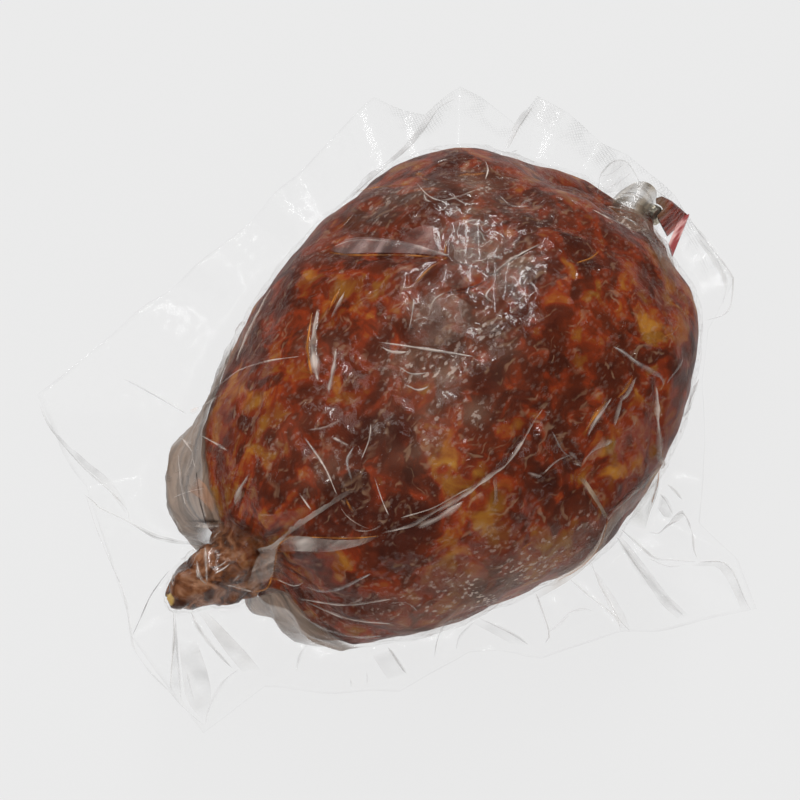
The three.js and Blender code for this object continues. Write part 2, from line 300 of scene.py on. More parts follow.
def past_the_end(point, way, ends):
    """How far a point lies beyond an end, in pixels, and their size. It eases off at the sides."""
    place, step = pixel_of(point)
    along = Vector((-way.y, way.x))
    marks = sorted((Vector(end).dot(along), Vector(end).dot(way)) for end in ends)
    at = place.dot(along)
    room = min(at - marks[0][0], marks[-1][0] - at)
    if room <= 0:
        return -99, step
    return min(place.dot(way) - float(np.interp(at, *zip(*marks))), room), step


def drawn_in(point, share, all_ends):
    """Where a point comes to when it is drawn in past these ends, by a share of the way."""
    axes = camera.matrix_world.to_3x3()
    moved = point.copy()
    for way, ends in all_ends:
        over, step = past_the_end(point, way, ends)
        if over > 0:
            kept = MINCE_TURNS_IN * (1 - math.exp(-over / MINCE_TURNS_IN))
            moved -= axes @ Vector((way.x, -way.y, 0)) * ((over - kept) * step * share)
    return moved


def may_be_empty(point):
    """1 on the shoulders round the neck, where the casing may hold no mince, 0 away from them."""
    away = (point - NECK).length + noise.noise(point * 60) * 0.008
    height = point.z - max(point.y - NECK.y, 0) * EMPTY_RISE
    return (1 - near_tail(point)) * fade(height, *EMPTY_ABOVE) * fade(away, *EMPTY_WITHIN)


def emptiness(point):
    """1 where the casing holds no mince, 0 where it does."""
    over = max(past_the_end(point, *end)[0] for end in MINCE_ENDS)
    return fade(over, *EMPTY_FROM) * may_be_empty(point)


def crinkles(point):
    """The deeper knobs and creases of the dried tail."""
    knobs = noise.noise(point * 150 + Vector((1, 8, 2))) * 0.0014
    creases = abs(noise.noise(point * 260 + Vector((5, 2, 6)))) * 0.0020
    return knobs - max(0.0005 - creases, 0) * 1.5


mince = even_skin("smoked_mince", ["sausage"], MINCE_GRAIN, 8)
bm = bmesh.new()
bm.from_mesh(mince.data)
casing_tree = BVHTree.FromBMesh(bm)


def around_places(points, places):
    """What some places of the casing add up to at each point, as they fade out around them."""
    total = np.zeros(len(points))
    for px, py, reach, value in places:
        middle = casing_tree.ray_cast(EYE, sight(px, py))[0]
        off = np.linalg.norm(points - np.array(middle), axis=1) / (pixel_of(middle)[1] * reach)
        total += value * np.exp(-off * off)
    return total


valley_pixels = [pixel for valley in VALLEYS for pixel in curve_through(valley)]
valley_floor = KDTree(len(valley_pixels))
for index, pixel in enumerate(valley_pixels):
    place = casing_tree.ray_cast(EYE, sight(*pixel))[0]
    if place is not None:
        valley_floor.insert(place, index)
valley_floor.balance()


def lumps(point):
    """The relief of the mince and of the film that is drawn on it."""
    coarse = noise.noise(point * 95) * 0.0007
    fine = noise.noise(point * 210 + Vector((3, 1, 7))) * 0.0004
    off = valley_floor.find(point)[2] / VALLEY_WIDTH
    return coarse + fine - VALLEY_DEPTH * math.exp(-off * off)


on_tail = bm.verts.layers.float.new("on_tail")
fatness = bm.verts.layers.float.new("fatness")
fatter = around_places(np.array([vert.co for vert in bm.verts]), FATTY_PLACES)
for vert, more in zip(bm.verts, fatter):
    vert[fatness] = more
    vert[on_tail] = near_tail(vert.co)
    vert.co = drawn_in(vert.co, may_be_empty(vert.co), MINCE_ENDS)
    vert.co = drawn_in(vert.co, vert[on_tail], TAIL_END)
bm.normal_update()
for vert in bm.verts:
    relief = lumps(vert.co) + crinkles(vert.co) * vert[on_tail]
    vert.co = vert.co + vert.normal * (relief - 0.0004)
    vert.co.z = max(vert.co.z, 0)
bm.to_mesh(mince.data)
bm.free()
smooth_faces(mince)
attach(mince, "root")


def ramp(nodes, stops):
    """A colour ramp from (place, colour) stops."""
    node = nodes.new("ShaderNodeValToRGB")
    elements = node.color_ramp.elements
    elements[0].position, elements[0].color = stops[0][0], (*stops[0][1], 1)
    elements[1].position, elements[1].color = stops[-1][0], (*stops[-1][1], 1)
    for place, colour in stops[1:-1]:
        elements.new(place).color = (*colour, 1)
    return node


def mask_ramp(nodes, start, end):
    """A ramp from 0 at start to 1 at end."""
    node = nodes.new("ShaderNodeMapRange")
    node.interpolation_type = "SMOOTHSTEP"
    node.inputs["From Min"].default_value = start
    node.inputs["From Max"].default_value = end
    return node


def mix_colours(nodes, links, factor, a, b):
    """The colour between a and b. Each is an output or three numbers."""
    node = nodes.new("ShaderNodeMix")
    node.data_type = "RGBA"
    for socket, value in ((node.inputs[0], factor), (node.inputs[6], a), (node.inputs[7], b)):
        if isinstance(value, (int, float)):
            socket.default_value = value
        elif isinstance(value, tuple):
            socket.default_value = (*value, 1)
        else:
            links.new(value, socket)
    return node.outputs[2]


def maths(nodes, links, operation, a, b=0.0):
    node = nodes.new("ShaderNodeMath")
    node.operation = operation
    for socket, value in zip(node.inputs, (a, b)):
        if isinstance(value, (int, float)):
            socket.default_value = value
        else:
            links.new(value, socket)
    return node.outputs[0]


def film_layers(bm):
    """What a film's finish reads at each point: how much it hides, and its tint, in which the
    fourth number is how much air it may hold."""
    return bm.verts.layers.float.new("cover"), bm.verts.layers.float_color.new("tint")


def group_of(name, outputs):
    """A new node group that takes a place, and its way in and out."""
    group = bpy.data.node_groups.new(name, "ShaderNodeTree")
    group.interface.new_socket("Place", in_out="INPUT", socket_type="NodeSocketVector")
    for output in outputs:
        group.interface.new_socket(output, in_out="OUTPUT", socket_type="NodeSocketFloat")
    came = group.nodes.new("NodeGroupInput").outputs["Place"]
    return group, came, group.nodes.new("NodeGroupOutput").inputs


def noise_at(nodes, links, place, scale, detail=2, roughness=0.5, distortion=0.0):
    node = nodes.new("ShaderNodeTexNoise")
    node.inputs["Scale"].default_value = scale
    node.inputs["Detail"].default_value = detail
    node.inputs["Roughness"].default_value = roughness
    node.inputs["Distortion"].default_value = distortion
    links.new(place, node.inputs["Vector"])
    return node.outputs["Fac"]


def slivers(nodes, links, place, turn, scale, cut_from, cut_to):
    """Scattered slivers that all lie one way."""
    spin = nodes.new("ShaderNodeMapping")
    spin.inputs["Rotation"].default_value = turn
    spin.inputs["Scale"].default_value = scale
    links.new(place, spin.inputs["Vector"])
    cut = mask_ramp(nodes, cut_from, cut_to)
    links.new(noise_at(nodes, links, spin.outputs[0], 1, 1, 0.6, 0.4), cut.inputs["Value"])
    return cut.outputs["Result"]


def flakes(nodes, links, place, turn, scale, size):
    """Scattered flakes that all lie one way. Half of the cells hold one."""
    spin = nodes.new("ShaderNodeMapping")
    spin.inputs["Rotation"].default_value = turn
    spin.inputs["Scale"].default_value = scale
    links.new(place, spin.inputs["Vector"])
    ragged = nodes.new("ShaderNodeTexNoise")
    ragged.inputs["Scale"].default_value = 2.2
    links.new(spin.outputs[0], ragged.inputs["Vector"])
    bent = nodes.new("ShaderNodeVectorMath")
    bent.operation = "MULTIPLY_ADD"
    links.new(ragged.outputs["Color"], bent.inputs[0])
    bent.inputs[1].default_value = (0.9, 0.9, 0.9)
    links.new(spin.outputs[0], bent.inputs[2])
    cells = nodes.new("ShaderNodeTexVoronoi")
    cells.inputs["Scale"].default_value = 1
    links.new(bent.outputs[0], cells.inputs["Vector"])
    inside = mask_ramp(nodes, size, size * 0.55)
    links.new(cells.outputs["Distance"], inside.inputs["Value"])
    picked = nodes.new("ShaderNodeSeparateXYZ")
    links.new(cells.outputs["Color"], picked.inputs[0])
    held = mask_ramp(nodes, 0.40, 0.60)
    links.new(picked.outputs["X"], held.inputs["Value"])
    return maths(nodes, links, "MULTIPLY", inside.outputs["Result"], held.outputs["Result"])


def specks_group():
    """Tiny pale flakes, the air that is caught between the film and the casing."""
    group, came, goes = group_of("caught_air", ["Mask"])
    nodes, links = group.nodes, group.links
    found = 0.0
    for turn in ((0.3, 0.2, 0.5), (1.3, 0.9, 1.9)):
        some = flakes(nodes, links, came, turn, (470, 820, 820), 0.46)
        found = maths(nodes, links, "MAXIMUM", some, found)
    thick = mask_ramp(nodes, 0.32, 0.50)
    links.new(noise_at(nodes, links, came, 120, 2), thick.inputs["Value"])
    links.new(maths(nodes, links, "MULTIPLY", found, thick.outputs["Result"]), goes["Mask"])
    return group


def pleats_group():
    """Painted light and shade of pleats that run out from the tied neck, as gathered casing has, and how near the neck
    is.
    """
    group, came, goes = group_of("painted_pleat_shade", ["Streak", "Nearness"])
    nodes, links = group.nodes, group.links
    from_neck = nodes.new("ShaderNodeVectorMath")
    from_neck.operation = "SUBTRACT"
    from_neck.inputs[1].default_value = NECK
    links.new(came, from_neck.inputs[0])
    parts = nodes.new("ShaderNodeSeparateXYZ")
    links.new(from_neck.outputs[0], parts.inputs[0])
    turn = maths(nodes, links, "ARCTAN2", parts.outputs["Y"], parts.outputs["Z"])
    distance = nodes.new("ShaderNodeVectorMath")
    distance.operation = "LENGTH"
    links.new(from_neck.outputs[0], distance.inputs[0])
    along = maths(nodes, links, "MULTIPLY", distance.outputs["Value"], 45)
    place = nodes.new("ShaderNodeCombineXYZ")
    links.new(maths(nodes, links, "MULTIPLY", turn, 7), place.inputs[0])
    links.new(along, place.inputs[1])
    links.new(noise_at(nodes, links, place.outputs[0], 1, 3, 0.65, 0.4), goes["Streak"])
    near = mask_ramp(nodes, 0.042, 0.012)
    links.new(distance.outputs["Value"], near.inputs["Value"])
    links.new(near.outputs["Result"], goes["Nearness"])
    return group


def placed_group(nodes, links, group, place):
    node = nodes.new("ShaderNodeGroup")
    node.node_tree = group
    links.new(place, node.inputs["Place"])
    return node.outputs


def wrinkles_group():
    """Thin curved wrinkles of film, a few at a time: pieces of the level lines of a noise."""
    group, came, goes = group_of("small_wrinkles", ["Mask"])
    nodes, links = group.nodes, group.links
    level = noise_at(nodes, links, came, 125, 1, 0.5, 1.0)
    off = maths(nodes, links, "ABSOLUTE", maths(nodes, links, "SUBTRACT", level, 0.5))
    line = mask_ramp(nodes, 0.016, 0.005)
    links.new(off, line.inputs["Value"])
    kept = mask_ramp(nodes, 0.54, 0.60)
    links.new(noise_at(nodes, links, came, 90, 1), kept.inputs["Value"])
    links.new(maths(nodes, links, "MULTIPLY", line.outputs["Result"], kept.outputs["Result"]),
              goes["Mask"])
    return group


CAUGHT_AIR = specks_group()
SMALL_WRINKLES = wrinkles_group()
PAINTED_PLEAT_SHADE = pleats_group()

LEAN_DARK = (0.056, 0.0100, 0.0040)
LEAN = (0.096, 0.0160, 0.0050)
LEAN_RED = (0.190, 0.0245, 0.0058)
BROWN_FAT = (0.230, 0.0640, 0.0110)
ORANGE_FAT = (0.290, 0.1080, 0.0150)
YELLOW_FAT = (0.330, 0.1550, 0.0260)
PALE_SMEAR = (0.330, 0.2000, 0.1200)
TAIL_DARK = (0.046, 0.0145, 0.0065)
TAIL_BROWN = (0.165, 0.0560, 0.0200)
# The tail's lightest tone: partly its paler flesh, partly a painted wet highlight.
TAIL_FLESH_AND_HIGHLIGHT = (0.330, 0.1600, 0.0850)
TIP_YELLOW = (0.520, 0.3300, 0.1000)


def mince_finish():
    """Chunks of lean and fat, blurred through the casing, with pale flakes, and the brown tail."""
    finish = bpy.data.materials.new("cold_smoked_mince")
    finish.use_nodes = True
    nodes, links = finish.node_tree.nodes, finish.node_tree.links
    skin = nodes["Principled BSDF"]
    where = nodes.new("ShaderNodeTexCoord").outputs["Object"]

    swirl = nodes.new("ShaderNodeTexNoise")
    swirl.inputs["Scale"].default_value = 150
    swirl.inputs["Detail"].default_value = 2
    links.new(where, swirl.inputs["Vector"])
    pushed = nodes.new("ShaderNodeVectorMath")
    pushed.operation = "MULTIPLY_ADD"
    links.new(swirl.outputs["Color"], pushed.inputs[0])
    pushed.inputs[1].default_value = (0.010, 0.010, 0.010)
    links.new(where, pushed.inputs[2])

    chunks = nodes.new("ShaderNodeTexVoronoi")
    chunks.feature = "SMOOTH_F1"
    chunks.inputs["Scale"].default_value = 190
    chunks.inputs["Smoothness"].default_value = 0.5
    links.new(pushed.outputs[0], chunks.inputs["Vector"])
    parted = nodes.new("ShaderNodeSeparateColor")
    links.new(chunks.outputs["Color"], parted.inputs[0])
    grain = noise_at(nodes, links, pushed.outputs[0], 420, 3, 0.6)
    clouds = noise_at(nodes, links, where, 132, 3, 0.52, 1.3)
    drift = noise_at(nodes, links, where, 50, 2, 0.5)
    gathered = placed_group(nodes, links, PAINTED_PLEAT_SHADE, where)
    fatter = nodes.new("ShaderNodeAttribute")
    fatter.attribute_name = "fatness"
    kind = maths(nodes, links, "ADD", fatter.outputs["Fac"], 0.101)
    for source, share in ((parted.outputs[0], 0.12), (clouds, 0.36), (grain, 0.05), (drift, 0.26)):
        kind = maths(nodes, links, "ADD", kind, maths(nodes, links, "MULTIPLY", source, share))
    # Painted light and shade of the pleats near the neck, which moves the mince's colour along them.
    pleat_shading = maths(nodes, links, "SUBTRACT", gathered["Streak"], 0.5)
    pleat_shading = maths(nodes, links, "MULTIPLY", pleat_shading, gathered["Nearness"])
    kind = maths(nodes, links, "ADD", kind, maths(nodes, links, "MULTIPLY", pleat_shading, 0.6))
    colours = ramp(nodes, [(0.38, LEAN_DARK), (0.46, LEAN), (0.52, LEAN_RED), (0.57, BROWN_FAT),
                           (0.62, ORANGE_FAT), (0.70, YELLOW_FAT)])
    links.new(kind, colours.inputs[0])

    shade = ramp(nodes, [(0.2, (0.78, 0.78, 0.78)), (0.8, (1.2, 1.2, 1.2))])
    links.new(parted.outputs[1], shade.inputs[0])
    tinted = nodes.new("ShaderNodeVectorMath")
    tinted.operation = "MULTIPLY"
    links.new(colours.outputs[0], tinted.inputs[0])
    links.new(shade.outputs[0], tinted.inputs[1])
    flakes = 0.0
    for turn in ((0.4, 0.2, 0.9), (1.2, 0.6, 2.2)):
        some = slivers(nodes, links, pushed.outputs[0], turn, (130, 420, 420), 0.62, 0.76)
        flakes = maths(nodes, links, "MAXIMUM", some, flakes)
    faint = maths(nodes, links, "MULTIPLY", flakes, 0.40)
    body = mix_colours(nodes, links, faint, tinted.outputs[0], PALE_SMEAR)

    # The tail's tones by noise, whose lightest patches are partly a painted wet highlight.
    tail_colours = ramp(nodes, [(0.38, TAIL_DARK), (0.52, TAIL_BROWN), (0.68, TAIL_FLESH_AND_HIGHLIGHT)])
    links.new(noise_at(nodes, links, where, 210, 3, 0.58, 1.3), tail_colours.inputs[0])
    from_cut = nodes.new("ShaderNodeVectorMath")
    from_cut.operation = "DISTANCE"
    links.new(where, from_cut.inputs[0])
    from_cut.inputs[1].default_value = casing_tree.ray_cast(EYE, sight(*CUT_END))[0]
    tip = mask_ramp(nodes, CUT_END_REACH, CUT_END_REACH * 0.7)
    links.new(from_cut.outputs["Value"], tip.inputs["Value"])
    tail = mix_colours(nodes, links, tip.outputs["Result"], tail_colours.outputs[0], TIP_YELLOW)
    on_tail = nodes.new("ShaderNodeAttribute")
    on_tail.attribute_name = "on_tail"
    links.new(mix_colours(nodes, links, on_tail.outputs["Fac"], body, tail), skin.inputs["Base Color"])

    polish = mask_ramp(nodes, 0, 1)
    polish.inputs["To Min"].default_value = 0.42
    polish.inputs["To Max"].default_value = 0.16
    links.new(on_tail.outputs["Fac"], polish.inputs["Value"])
    links.new(polish.outputs["Result"], skin.inputs["Roughness"])
    skin.inputs["Specular IOR Level"].default_value = 0.05
    links.new(maths(nodes, links, "MULTIPLY", on_tail.outputs["Fac"], 0.5), skin.inputs["Coat Weight"])
    skin.inputs["Coat Roughness"].default_value = 0.14
    relief = nodes.new("ShaderNodeBump")
    relief.inputs["Strength"].default_value = 0.5
    relief.inputs["Distance"].default_value = 0.0006
    links.new(grain, relief.inputs["Height"])
    links.new(relief.outputs[0], skin.inputs["Normal"])
    return finish


mince.data.materials.append(mince_finish())


# The clip and the ribbon
# A short barrel of soft aluminium crimped on the casing's end, and the flat empty end of the
# casing beyond it, dried dark red and folded over once. Both are CAD solids with new finishes.
CLIP_SIDE = Vector((0.0755, -0.0015, 0.0385))
FOLDED_FROM = -0.0088  # along Y, where the ribbon has folded back and shows its paler side


def clip_finish():
    """Soft aluminium with drag marks from the crimping jaws, dull with grease."""
    finish = bpy.data.materials.new("crimped_aluminium")
    finish.use_nodes = True
    nodes, links = finish.node_tree.nodes, finish.node_tree.links
    metal = nodes["Principled BSDF"]
    where = nodes.new("ShaderNodeTexCoord").outputs["Object"]
    marks = noise_at(nodes, links, where, 900, 3)
    colours = ramp(nodes, [(0.35, (0.30, 0.25, 0.17)), (0.6, (0.62, 0.58, 0.48))])
    links.new(marks, colours.inputs[0])
    links.new(colours.outputs[0], metal.inputs["Base Color"])
    metal.inputs["Metallic"].default_value = 1
    metal.inputs["Roughness"].default_value = 0.38
    relief = nodes.new("ShaderNodeBump")
    relief.inputs["Strength"].default_value = 0.4
    relief.inputs["Distance"].default_value = 0.0003
    links.new(marks, relief.inputs["Height"])
    links.new(relief.outputs[0], metal.inputs["Normal"])
    return finish


def ribbon_finish():
    """Dried casing: olive brown where it leaves the clip, then dark red with lighter red along its folds, and pink on
    the folded-back leg, whose palest streaks are a painted highlight.
    """
    finish = bpy.data.materials.new("dried_casing")
    finish.use_nodes = True
    nodes, links = finish.node_tree.nodes, finish.node_tree.links
    dried = nodes["Principled BSDF"]
    where = nodes.new("ShaderNodeTexCoord").outputs["Object"]
    away = nodes.new("ShaderNodeVectorMath")
    away.operation = "DISTANCE"
    links.new(where, away.inputs[0])
    away.inputs[1].default_value = CLIP_SIDE
    near = mask_ramp(nodes, 0.0050, 0.0022)
    links.new(away.outputs["Value"], near.inputs["Value"])
    creased = nodes.new("ShaderNodeMapping")
    creased.inputs["Rotation"].default_value = (0, 0, 0.35)
    creased.inputs["Scale"].default_value = (120, 620, 120)
    links.new(where, creased.inputs["Vector"])
    folds = noise_at(nodes, links, creased.outputs[0], 1, 2)
    reds = ramp(nodes, [(0.40, (0.070, 0.0070, 0.0025)), (0.60, (0.200, 0.0220, 0.0060))])
    links.new(folds, reds.inputs[0])
    # Pink of the folded-back leg, rising to a painted white highlight along its folds.
    pinks_and_highlight = ramp(nodes, [(0.44, (0.300, 0.0260, 0.0260)), (0.58, (0.760, 0.4200, 0.3900))])
    links.new(folds, pinks_and_highlight.inputs[0])
    parts = nodes.new("ShaderNodeSeparateXYZ")
    links.new(where, parts.inputs[0])
    folded = mask_ramp(nodes, FOLDED_FROM, FOLDED_FROM - 0.0008)
    links.new(parts.outputs["Y"], folded.inputs["Value"])
    leg = mix_colours(nodes, links, folded.outputs["Result"], reds.outputs[0], pinks_and_highlight.outputs[0])
    olive = (0.115, 0.044, 0.011)
    links.new(mix_colours(nodes, links, near.outputs["Result"], leg, olive),
              dried.inputs["Base Color"])
    dried.inputs["Roughness"].default_value = 0.28
    dried.inputs["Specular IOR Level"].default_value = 0.2
    relief = nodes.new("ShaderNodeBump")
    relief.inputs["Strength"].default_value = 0.5
    relief.inputs["Distance"].default_value = 0.0005
    links.new(folds, relief.inputs["Height"])
    links.new(relief.outputs[0], dried.inputs["Normal"])
    return finish


for node_name, finish in (("end_clip", clip_finish()), ("casing_ribbon", ribbon_finish())):
    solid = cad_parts[node_name]
    solid.data.materials.clear()
    solid.data.materials.append(finish)


# The film drawn over the sausage
# Clear pouch film, sucked tight on the sausage and crumpled in small flat facets. It stands off
# the mince only over the casing's empty shoulders, where casing and film are painted grey: their
# own grey together with painted shade.
FILM_LIFT = 0.0004
# The grey of the empty casing and film on the shoulders, darkened with painted shade.
GREY_CASING_AND_SHADE = (0.220, 0.158, 0.118)
GREY_MOST = 0.80
# Painted reflection of the softbox on the film's flat facets, mixed with the film's own haze.
HAZE_AND_SHEEN_TAUPE = (0.255, 0.160, 0.110)
HAZE_AND_SHEEN_UPTO = 0.5
PALE_SPECK = (0.500, 0.390, 0.325)
# Painted highlight on the short wrinkles strewn over the film.
PALE_WRINKLE_HIGHLIGHT = (0.360, 0.260, 0.215)
GRAZING_MOST = 0.10
CRUMPLE_SEED = 4  # without one, noise_vector isn't the same in two runs
FILM_DENTS = ((Vector((-1, 0)), ((240, 330), (222, 372), (204, 402), (178, 440), (171, 480),
                                 (172, 505), (184, 530), (200, 550))),)

skin = even_skin("drawn_film", ["sausage"], MINCE_GRAIN, 8)
noise.seed_set(CRUMPLE_SEED)


def crumple(point):
    """Sharp low ridges between flat facets, from over a centimetre apart to a few millimetres."""
    bent = point + noise.noise_vector(point * 60) * 0.004
    lift = 0
    for scale, height, shift in ((75, 0.00045, 0), (170, 0.00024, 9), (340, 0.00012, 4)):
        ridge = 1 - abs(noise.noise(bent * scale + Vector((shift, 2, 5)))) * 3.2
        lift += max(ridge, 0) * height
    return lift


bm = bmesh.new()
bm.from_mesh(skin.data)
cover, tint = film_layers(bm)
bm.normal_update()
hazes_and_sheen = around_places(np.array([vert.co for vert in bm.verts]), HAZE_AND_SHEEN_PLACES)
moves = []
for vert in bm.verts:
    at_tail = near_tail(vert.co)
    lift = FILM_LIFT + crumple(vert.co) * (1 - at_tail * 0.7) + crinkles(vert.co) * at_tail
    moves.append(vert.normal * (lift + lumps(vert.co)))
for vert, move, haze_and_sheen in zip(bm.verts, moves, hazes_and_sheen):
    empty = emptiness(vert.co)
    haze_and_sheen *= 0.8 + noise.noise(vert.co * 140) * 1.2
    vert[cover] = max(empty * GREY_MOST, min(max(haze_and_sheen, 0), HAZE_AND_SHEEN_UPTO))
    vert[tint] = (*Vector(HAZE_AND_SHEEN_TAUPE).lerp(Vector(GREY_CASING_AND_SHADE), empty), 1 - fade(empty, 0, 0.25))
    at_tail = near_tail(vert.co)
    vert.co = drawn_in(vert.co, 1 - at_tail, FILM_DENTS)
    vert.co = drawn_in(vert.co, at_tail, TAIL_END) + move
    vert.co.z = max(vert.co.z, 0)
bm.to_mesh(skin.data)
bm.free()
smooth_faces(skin)
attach(skin, "root")
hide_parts("sausage")


def film_finish(name, wrinkle_height, facet_tilt, head_on, specks=0.0, weld=False):
    """Clear film. It mirrors by the angle, hides by its cover, and may show specks of air."""
    finish = bpy.data.materials.new(name)
    finish.use_nodes = True
    nodes, links = finish.node_tree.nodes, finish.node_tree.links
    nodes.remove(nodes["Principled BSDF"])
    out = nodes["Material Output"]
    where = nodes.new("ShaderNodeTexCoord").outputs["Object"]

    crinkle = nodes.new("ShaderNodeTexNoise")
    crinkle.noise_type = "RIDGED_MULTIFRACTAL"
    crinkle.inputs["Scale"].default_value = 300
    crinkle.inputs["Detail"].default_value = 3
    crinkle.inputs["Distortion"].default_value = 0.6
    links.new(where, crinkle.inputs["Vector"])
    raised = crinkle.outputs["Fac"]
    if specks:
        wrinkled = placed_group(nodes, links, SMALL_WRINKLES, where)["Mask"]
        wrinkled = maths(nodes, links, "MULTIPLY", wrinkled, 0.4)
        raised = maths(nodes, links, "ADD", raised, wrinkled)
    relief = nodes.new("ShaderNodeBump")
    relief.inputs["Strength"].default_value = 0.8
    relief.inputs["Distance"].default_value = wrinkle_height
    links.new(raised, relief.inputs["Height"])

    bend = nodes.new("ShaderNodeTexNoise")
    bend.inputs["Scale"].default_value = 260
    links.new(where, bend.inputs["Vector"])
    bent = nodes.new("ShaderNodeVectorMath")
    bent.operation = "MULTIPLY_ADD"
    links.new(bend.outputs["Color"], bent.inputs[0])
    bent.inputs[1].default_value = (0.006, 0.006, 0.006)
    links.new(where, bent.inputs[2])
    facets = nodes.new("ShaderNodeTexVoronoi")
    facets.inputs["Scale"].default_value = 420
    links.new(bent.outputs[0], facets.inputs["Vector"])
    lean = nodes.new("ShaderNodeVectorMath")
    lean.operation = "SUBTRACT"
    links.new(facets.outputs["Color"], lean.inputs[0])
    lean.inputs[1].default_value = (0.5, 0.5, 0.5)
    crumpled = mask_ramp(nodes, 0.40, 0.60)
    crumpled.inputs["To Min"].default_value = facet_tilt * 0.15
    crumpled.inputs["To Max"].default_value = facet_tilt
    links.new(noise_at(nodes, links, where, 62, 2), crumpled.inputs["Value"])
    leaning = nodes.new("ShaderNodeVectorMath")
    leaning.operation = "SCALE"
    links.new(lean.outputs[0], leaning.inputs[0])
    links.new(crumpled.outputs["Result"], leaning.inputs["Scale"])
    tilted = nodes.new("ShaderNodeVectorMath")
    tilted.operation = "ADD"
    links.new(leaning.outputs[0], tilted.inputs[0])
    links.new(relief.outputs[0], tilted.inputs[1])
    normal = nodes.new("ShaderNodeVectorMath")
    normal.operation = "NORMALIZE"
    links.new(tilted.outputs[0], normal.inputs[0])

    clear = nodes.new("ShaderNodeBsdfTransparent")
    mirror = nodes.new("ShaderNodeBsdfGlossy")
    mirror.inputs["Roughness"].default_value = 0.08
    links.new(normal.outputs[0], mirror.inputs["Normal"])
    slant = nodes.new("ShaderNodeLayerWeight")
    slant.inputs["Blend"].default_value = 0.5
    links.new(relief.outputs[0], slant.inputs["Normal"])
    grazing = maths(nodes, links, "POWER", slant.outputs["Facing"], 5)
    mirrored = maths(nodes, links, "MULTIPLY_ADD", grazing, GRAZING_MOST - head_on)
    mirrored.node.inputs[2].default_value = head_on
    sheet = nodes.new("ShaderNodeMixShader")
    links.new(mirrored, sheet.inputs[0])
    links.new(clear.outputs[0], sheet.inputs[1])
    links.new(mirror.outputs[0], sheet.inputs[2])

    # Painted light and shade of the pleats: streaks about the neck make the tint brighter and darker.
    pleat_shade = placed_group(nodes, links, PAINTED_PLEAT_SHADE, where)
    pleat_light_and_shade = mask_ramp(nodes, 0.30, 0.70)
    pleat_light_and_shade.inputs["To Min"].default_value = 0.45
    pleat_light_and_shade.inputs["To Max"].default_value = 1.55
    links.new(pleat_shade["Streak"], pleat_light_and_shade.inputs["Value"])
    tinted = nodes.new("ShaderNodeAttribute")
    tinted.attribute_name = "tint"
    shaded = nodes.new("ShaderNodeVectorMath")
    shaded.operation = "SCALE"
    links.new(tinted.outputs["Color"], shaded.inputs[0])
    links.new(pleat_light_and_shade.outputs["Result"], shaded.inputs["Scale"])
    covered = nodes.new("ShaderNodeAttribute")
    covered.attribute_name = "cover"
    hiding = covered.outputs["Fac"]
    paint = shaded.outputs[0]
    if specks:
        air = placed_group(nodes, links, CAUGHT_AIR, where)["Mask"]
        air = maths(nodes, links, "MULTIPLY", air, tinted.outputs["Alpha"])
        paint = mix_colours(nodes, links, air, paint, PALE_SPECK)
        thick = maths(nodes, links, "MULTIPLY", hiding, 3.0)
        thick = maths(nodes, links, "ADD", thick, 0.14)
        air = maths(nodes, links, "MULTIPLY", air, thick)
        hiding = maths(nodes, links, "MAXIMUM", hiding, maths(nodes, links, "MULTIPLY", air, specks))
    cloudy = nodes.new("ShaderNodeBsdfPrincipled")
    links.new(paint, cloudy.inputs["Base Color"])
    cloudy.inputs["Roughness"].default_value = 0.3
    cloudy.inputs["Specular IOR Level"].default_value = 0.25
    links.new(normal.outputs[0], cloudy.inputs["Normal"])

    if weld:
        hiding = maths(nodes, links, "ADD", hiding, embossing(nodes, links, where))
    film = nodes.new("ShaderNodeMixShader")
    links.new(hiding, film.inputs[0])
    links.new(sheet.outputs[0], film.inputs[1])
    links.new(cloudy.outputs[0], film.inputs[2])
    links.new(film.outputs[0], out.inputs["Surface"])
    return finish


skin.data.materials.append(film_finish("drawn_film", 0.0006, 0.30, 0.028, specks=0.60))


# The border of the pouch
# Two sheets of film that leave the sausage at half its height, come together and are welded into
# a wavy border. The weld along its upper edge is embossed with a fine cross hatch.
AROUND = 720
ROWS = 44
ROOT_HEIGHT = 0.0050  # where each sheet leaves the sausage, above or below the border
FILM_GAP = 0.00012
SEARCH_FROM = 0.125
BORDER_MIDDLE = 0.041
PIECES_INSIDE = ("sausage", "end_clip", "casing_ribbon")
CUT_EDGE_GREY = (0.34, 0.34, 0.335)
CUT_EDGE_COVER = 0.06
SHARP_ANGLE = 1.0
WELD_BEARING, WELD_SPREAD = 16, 39  # degrees: its middle from +X, and how far it goes each way
WELD_WIDTH = 0.009
HATCH_PITCH = 0.00068

inside = BVHTree.FromBMesh(merged_copy(*PIECES_INSIDE))
plate = BVHTree.FromBMesh(merged_copy("vacuum_bag"))
UP, DOWN = Vector((0, 0, 1)), Vector((0, 0, -1))
HIGH, LOW = 0.2, -0.1


def plate_height(x, y):
    """The middle of the border's solid over a place, or None past its edge."""
    top = plate.ray_cast(Vector((x, y, HIGH)), DOWN)[0]
    if top is None:
        return None
    bottom = plate.ray_cast(Vector((x, y, LOW)), UP)[0]
    return (top.z + bottom.z) / 2


def rim_reach(way):
    """How far the border's solid goes out this way."""
    reach = SEARCH_FROM
    while plate_height(way.x * reach, way.y * reach) is None:
        reach -= 0.0008
    short, far = reach, reach + 0.0008
    for _ in range(7):
        middle = (short + far) / 2
        if plate_height(way.x * middle, way.y * middle) is None:
            far = middle
        else:
            short = middle
    return short


def body_reach(way, height):
    """How far the sausage goes out this way, at a height."""
    start = Vector((way.x * SEARCH_FROM, way.y * SEARCH_FROM, height))
    hit = inside.ray_cast(start, -way)[0]
    return Vector((hit.x, hit.y)).length


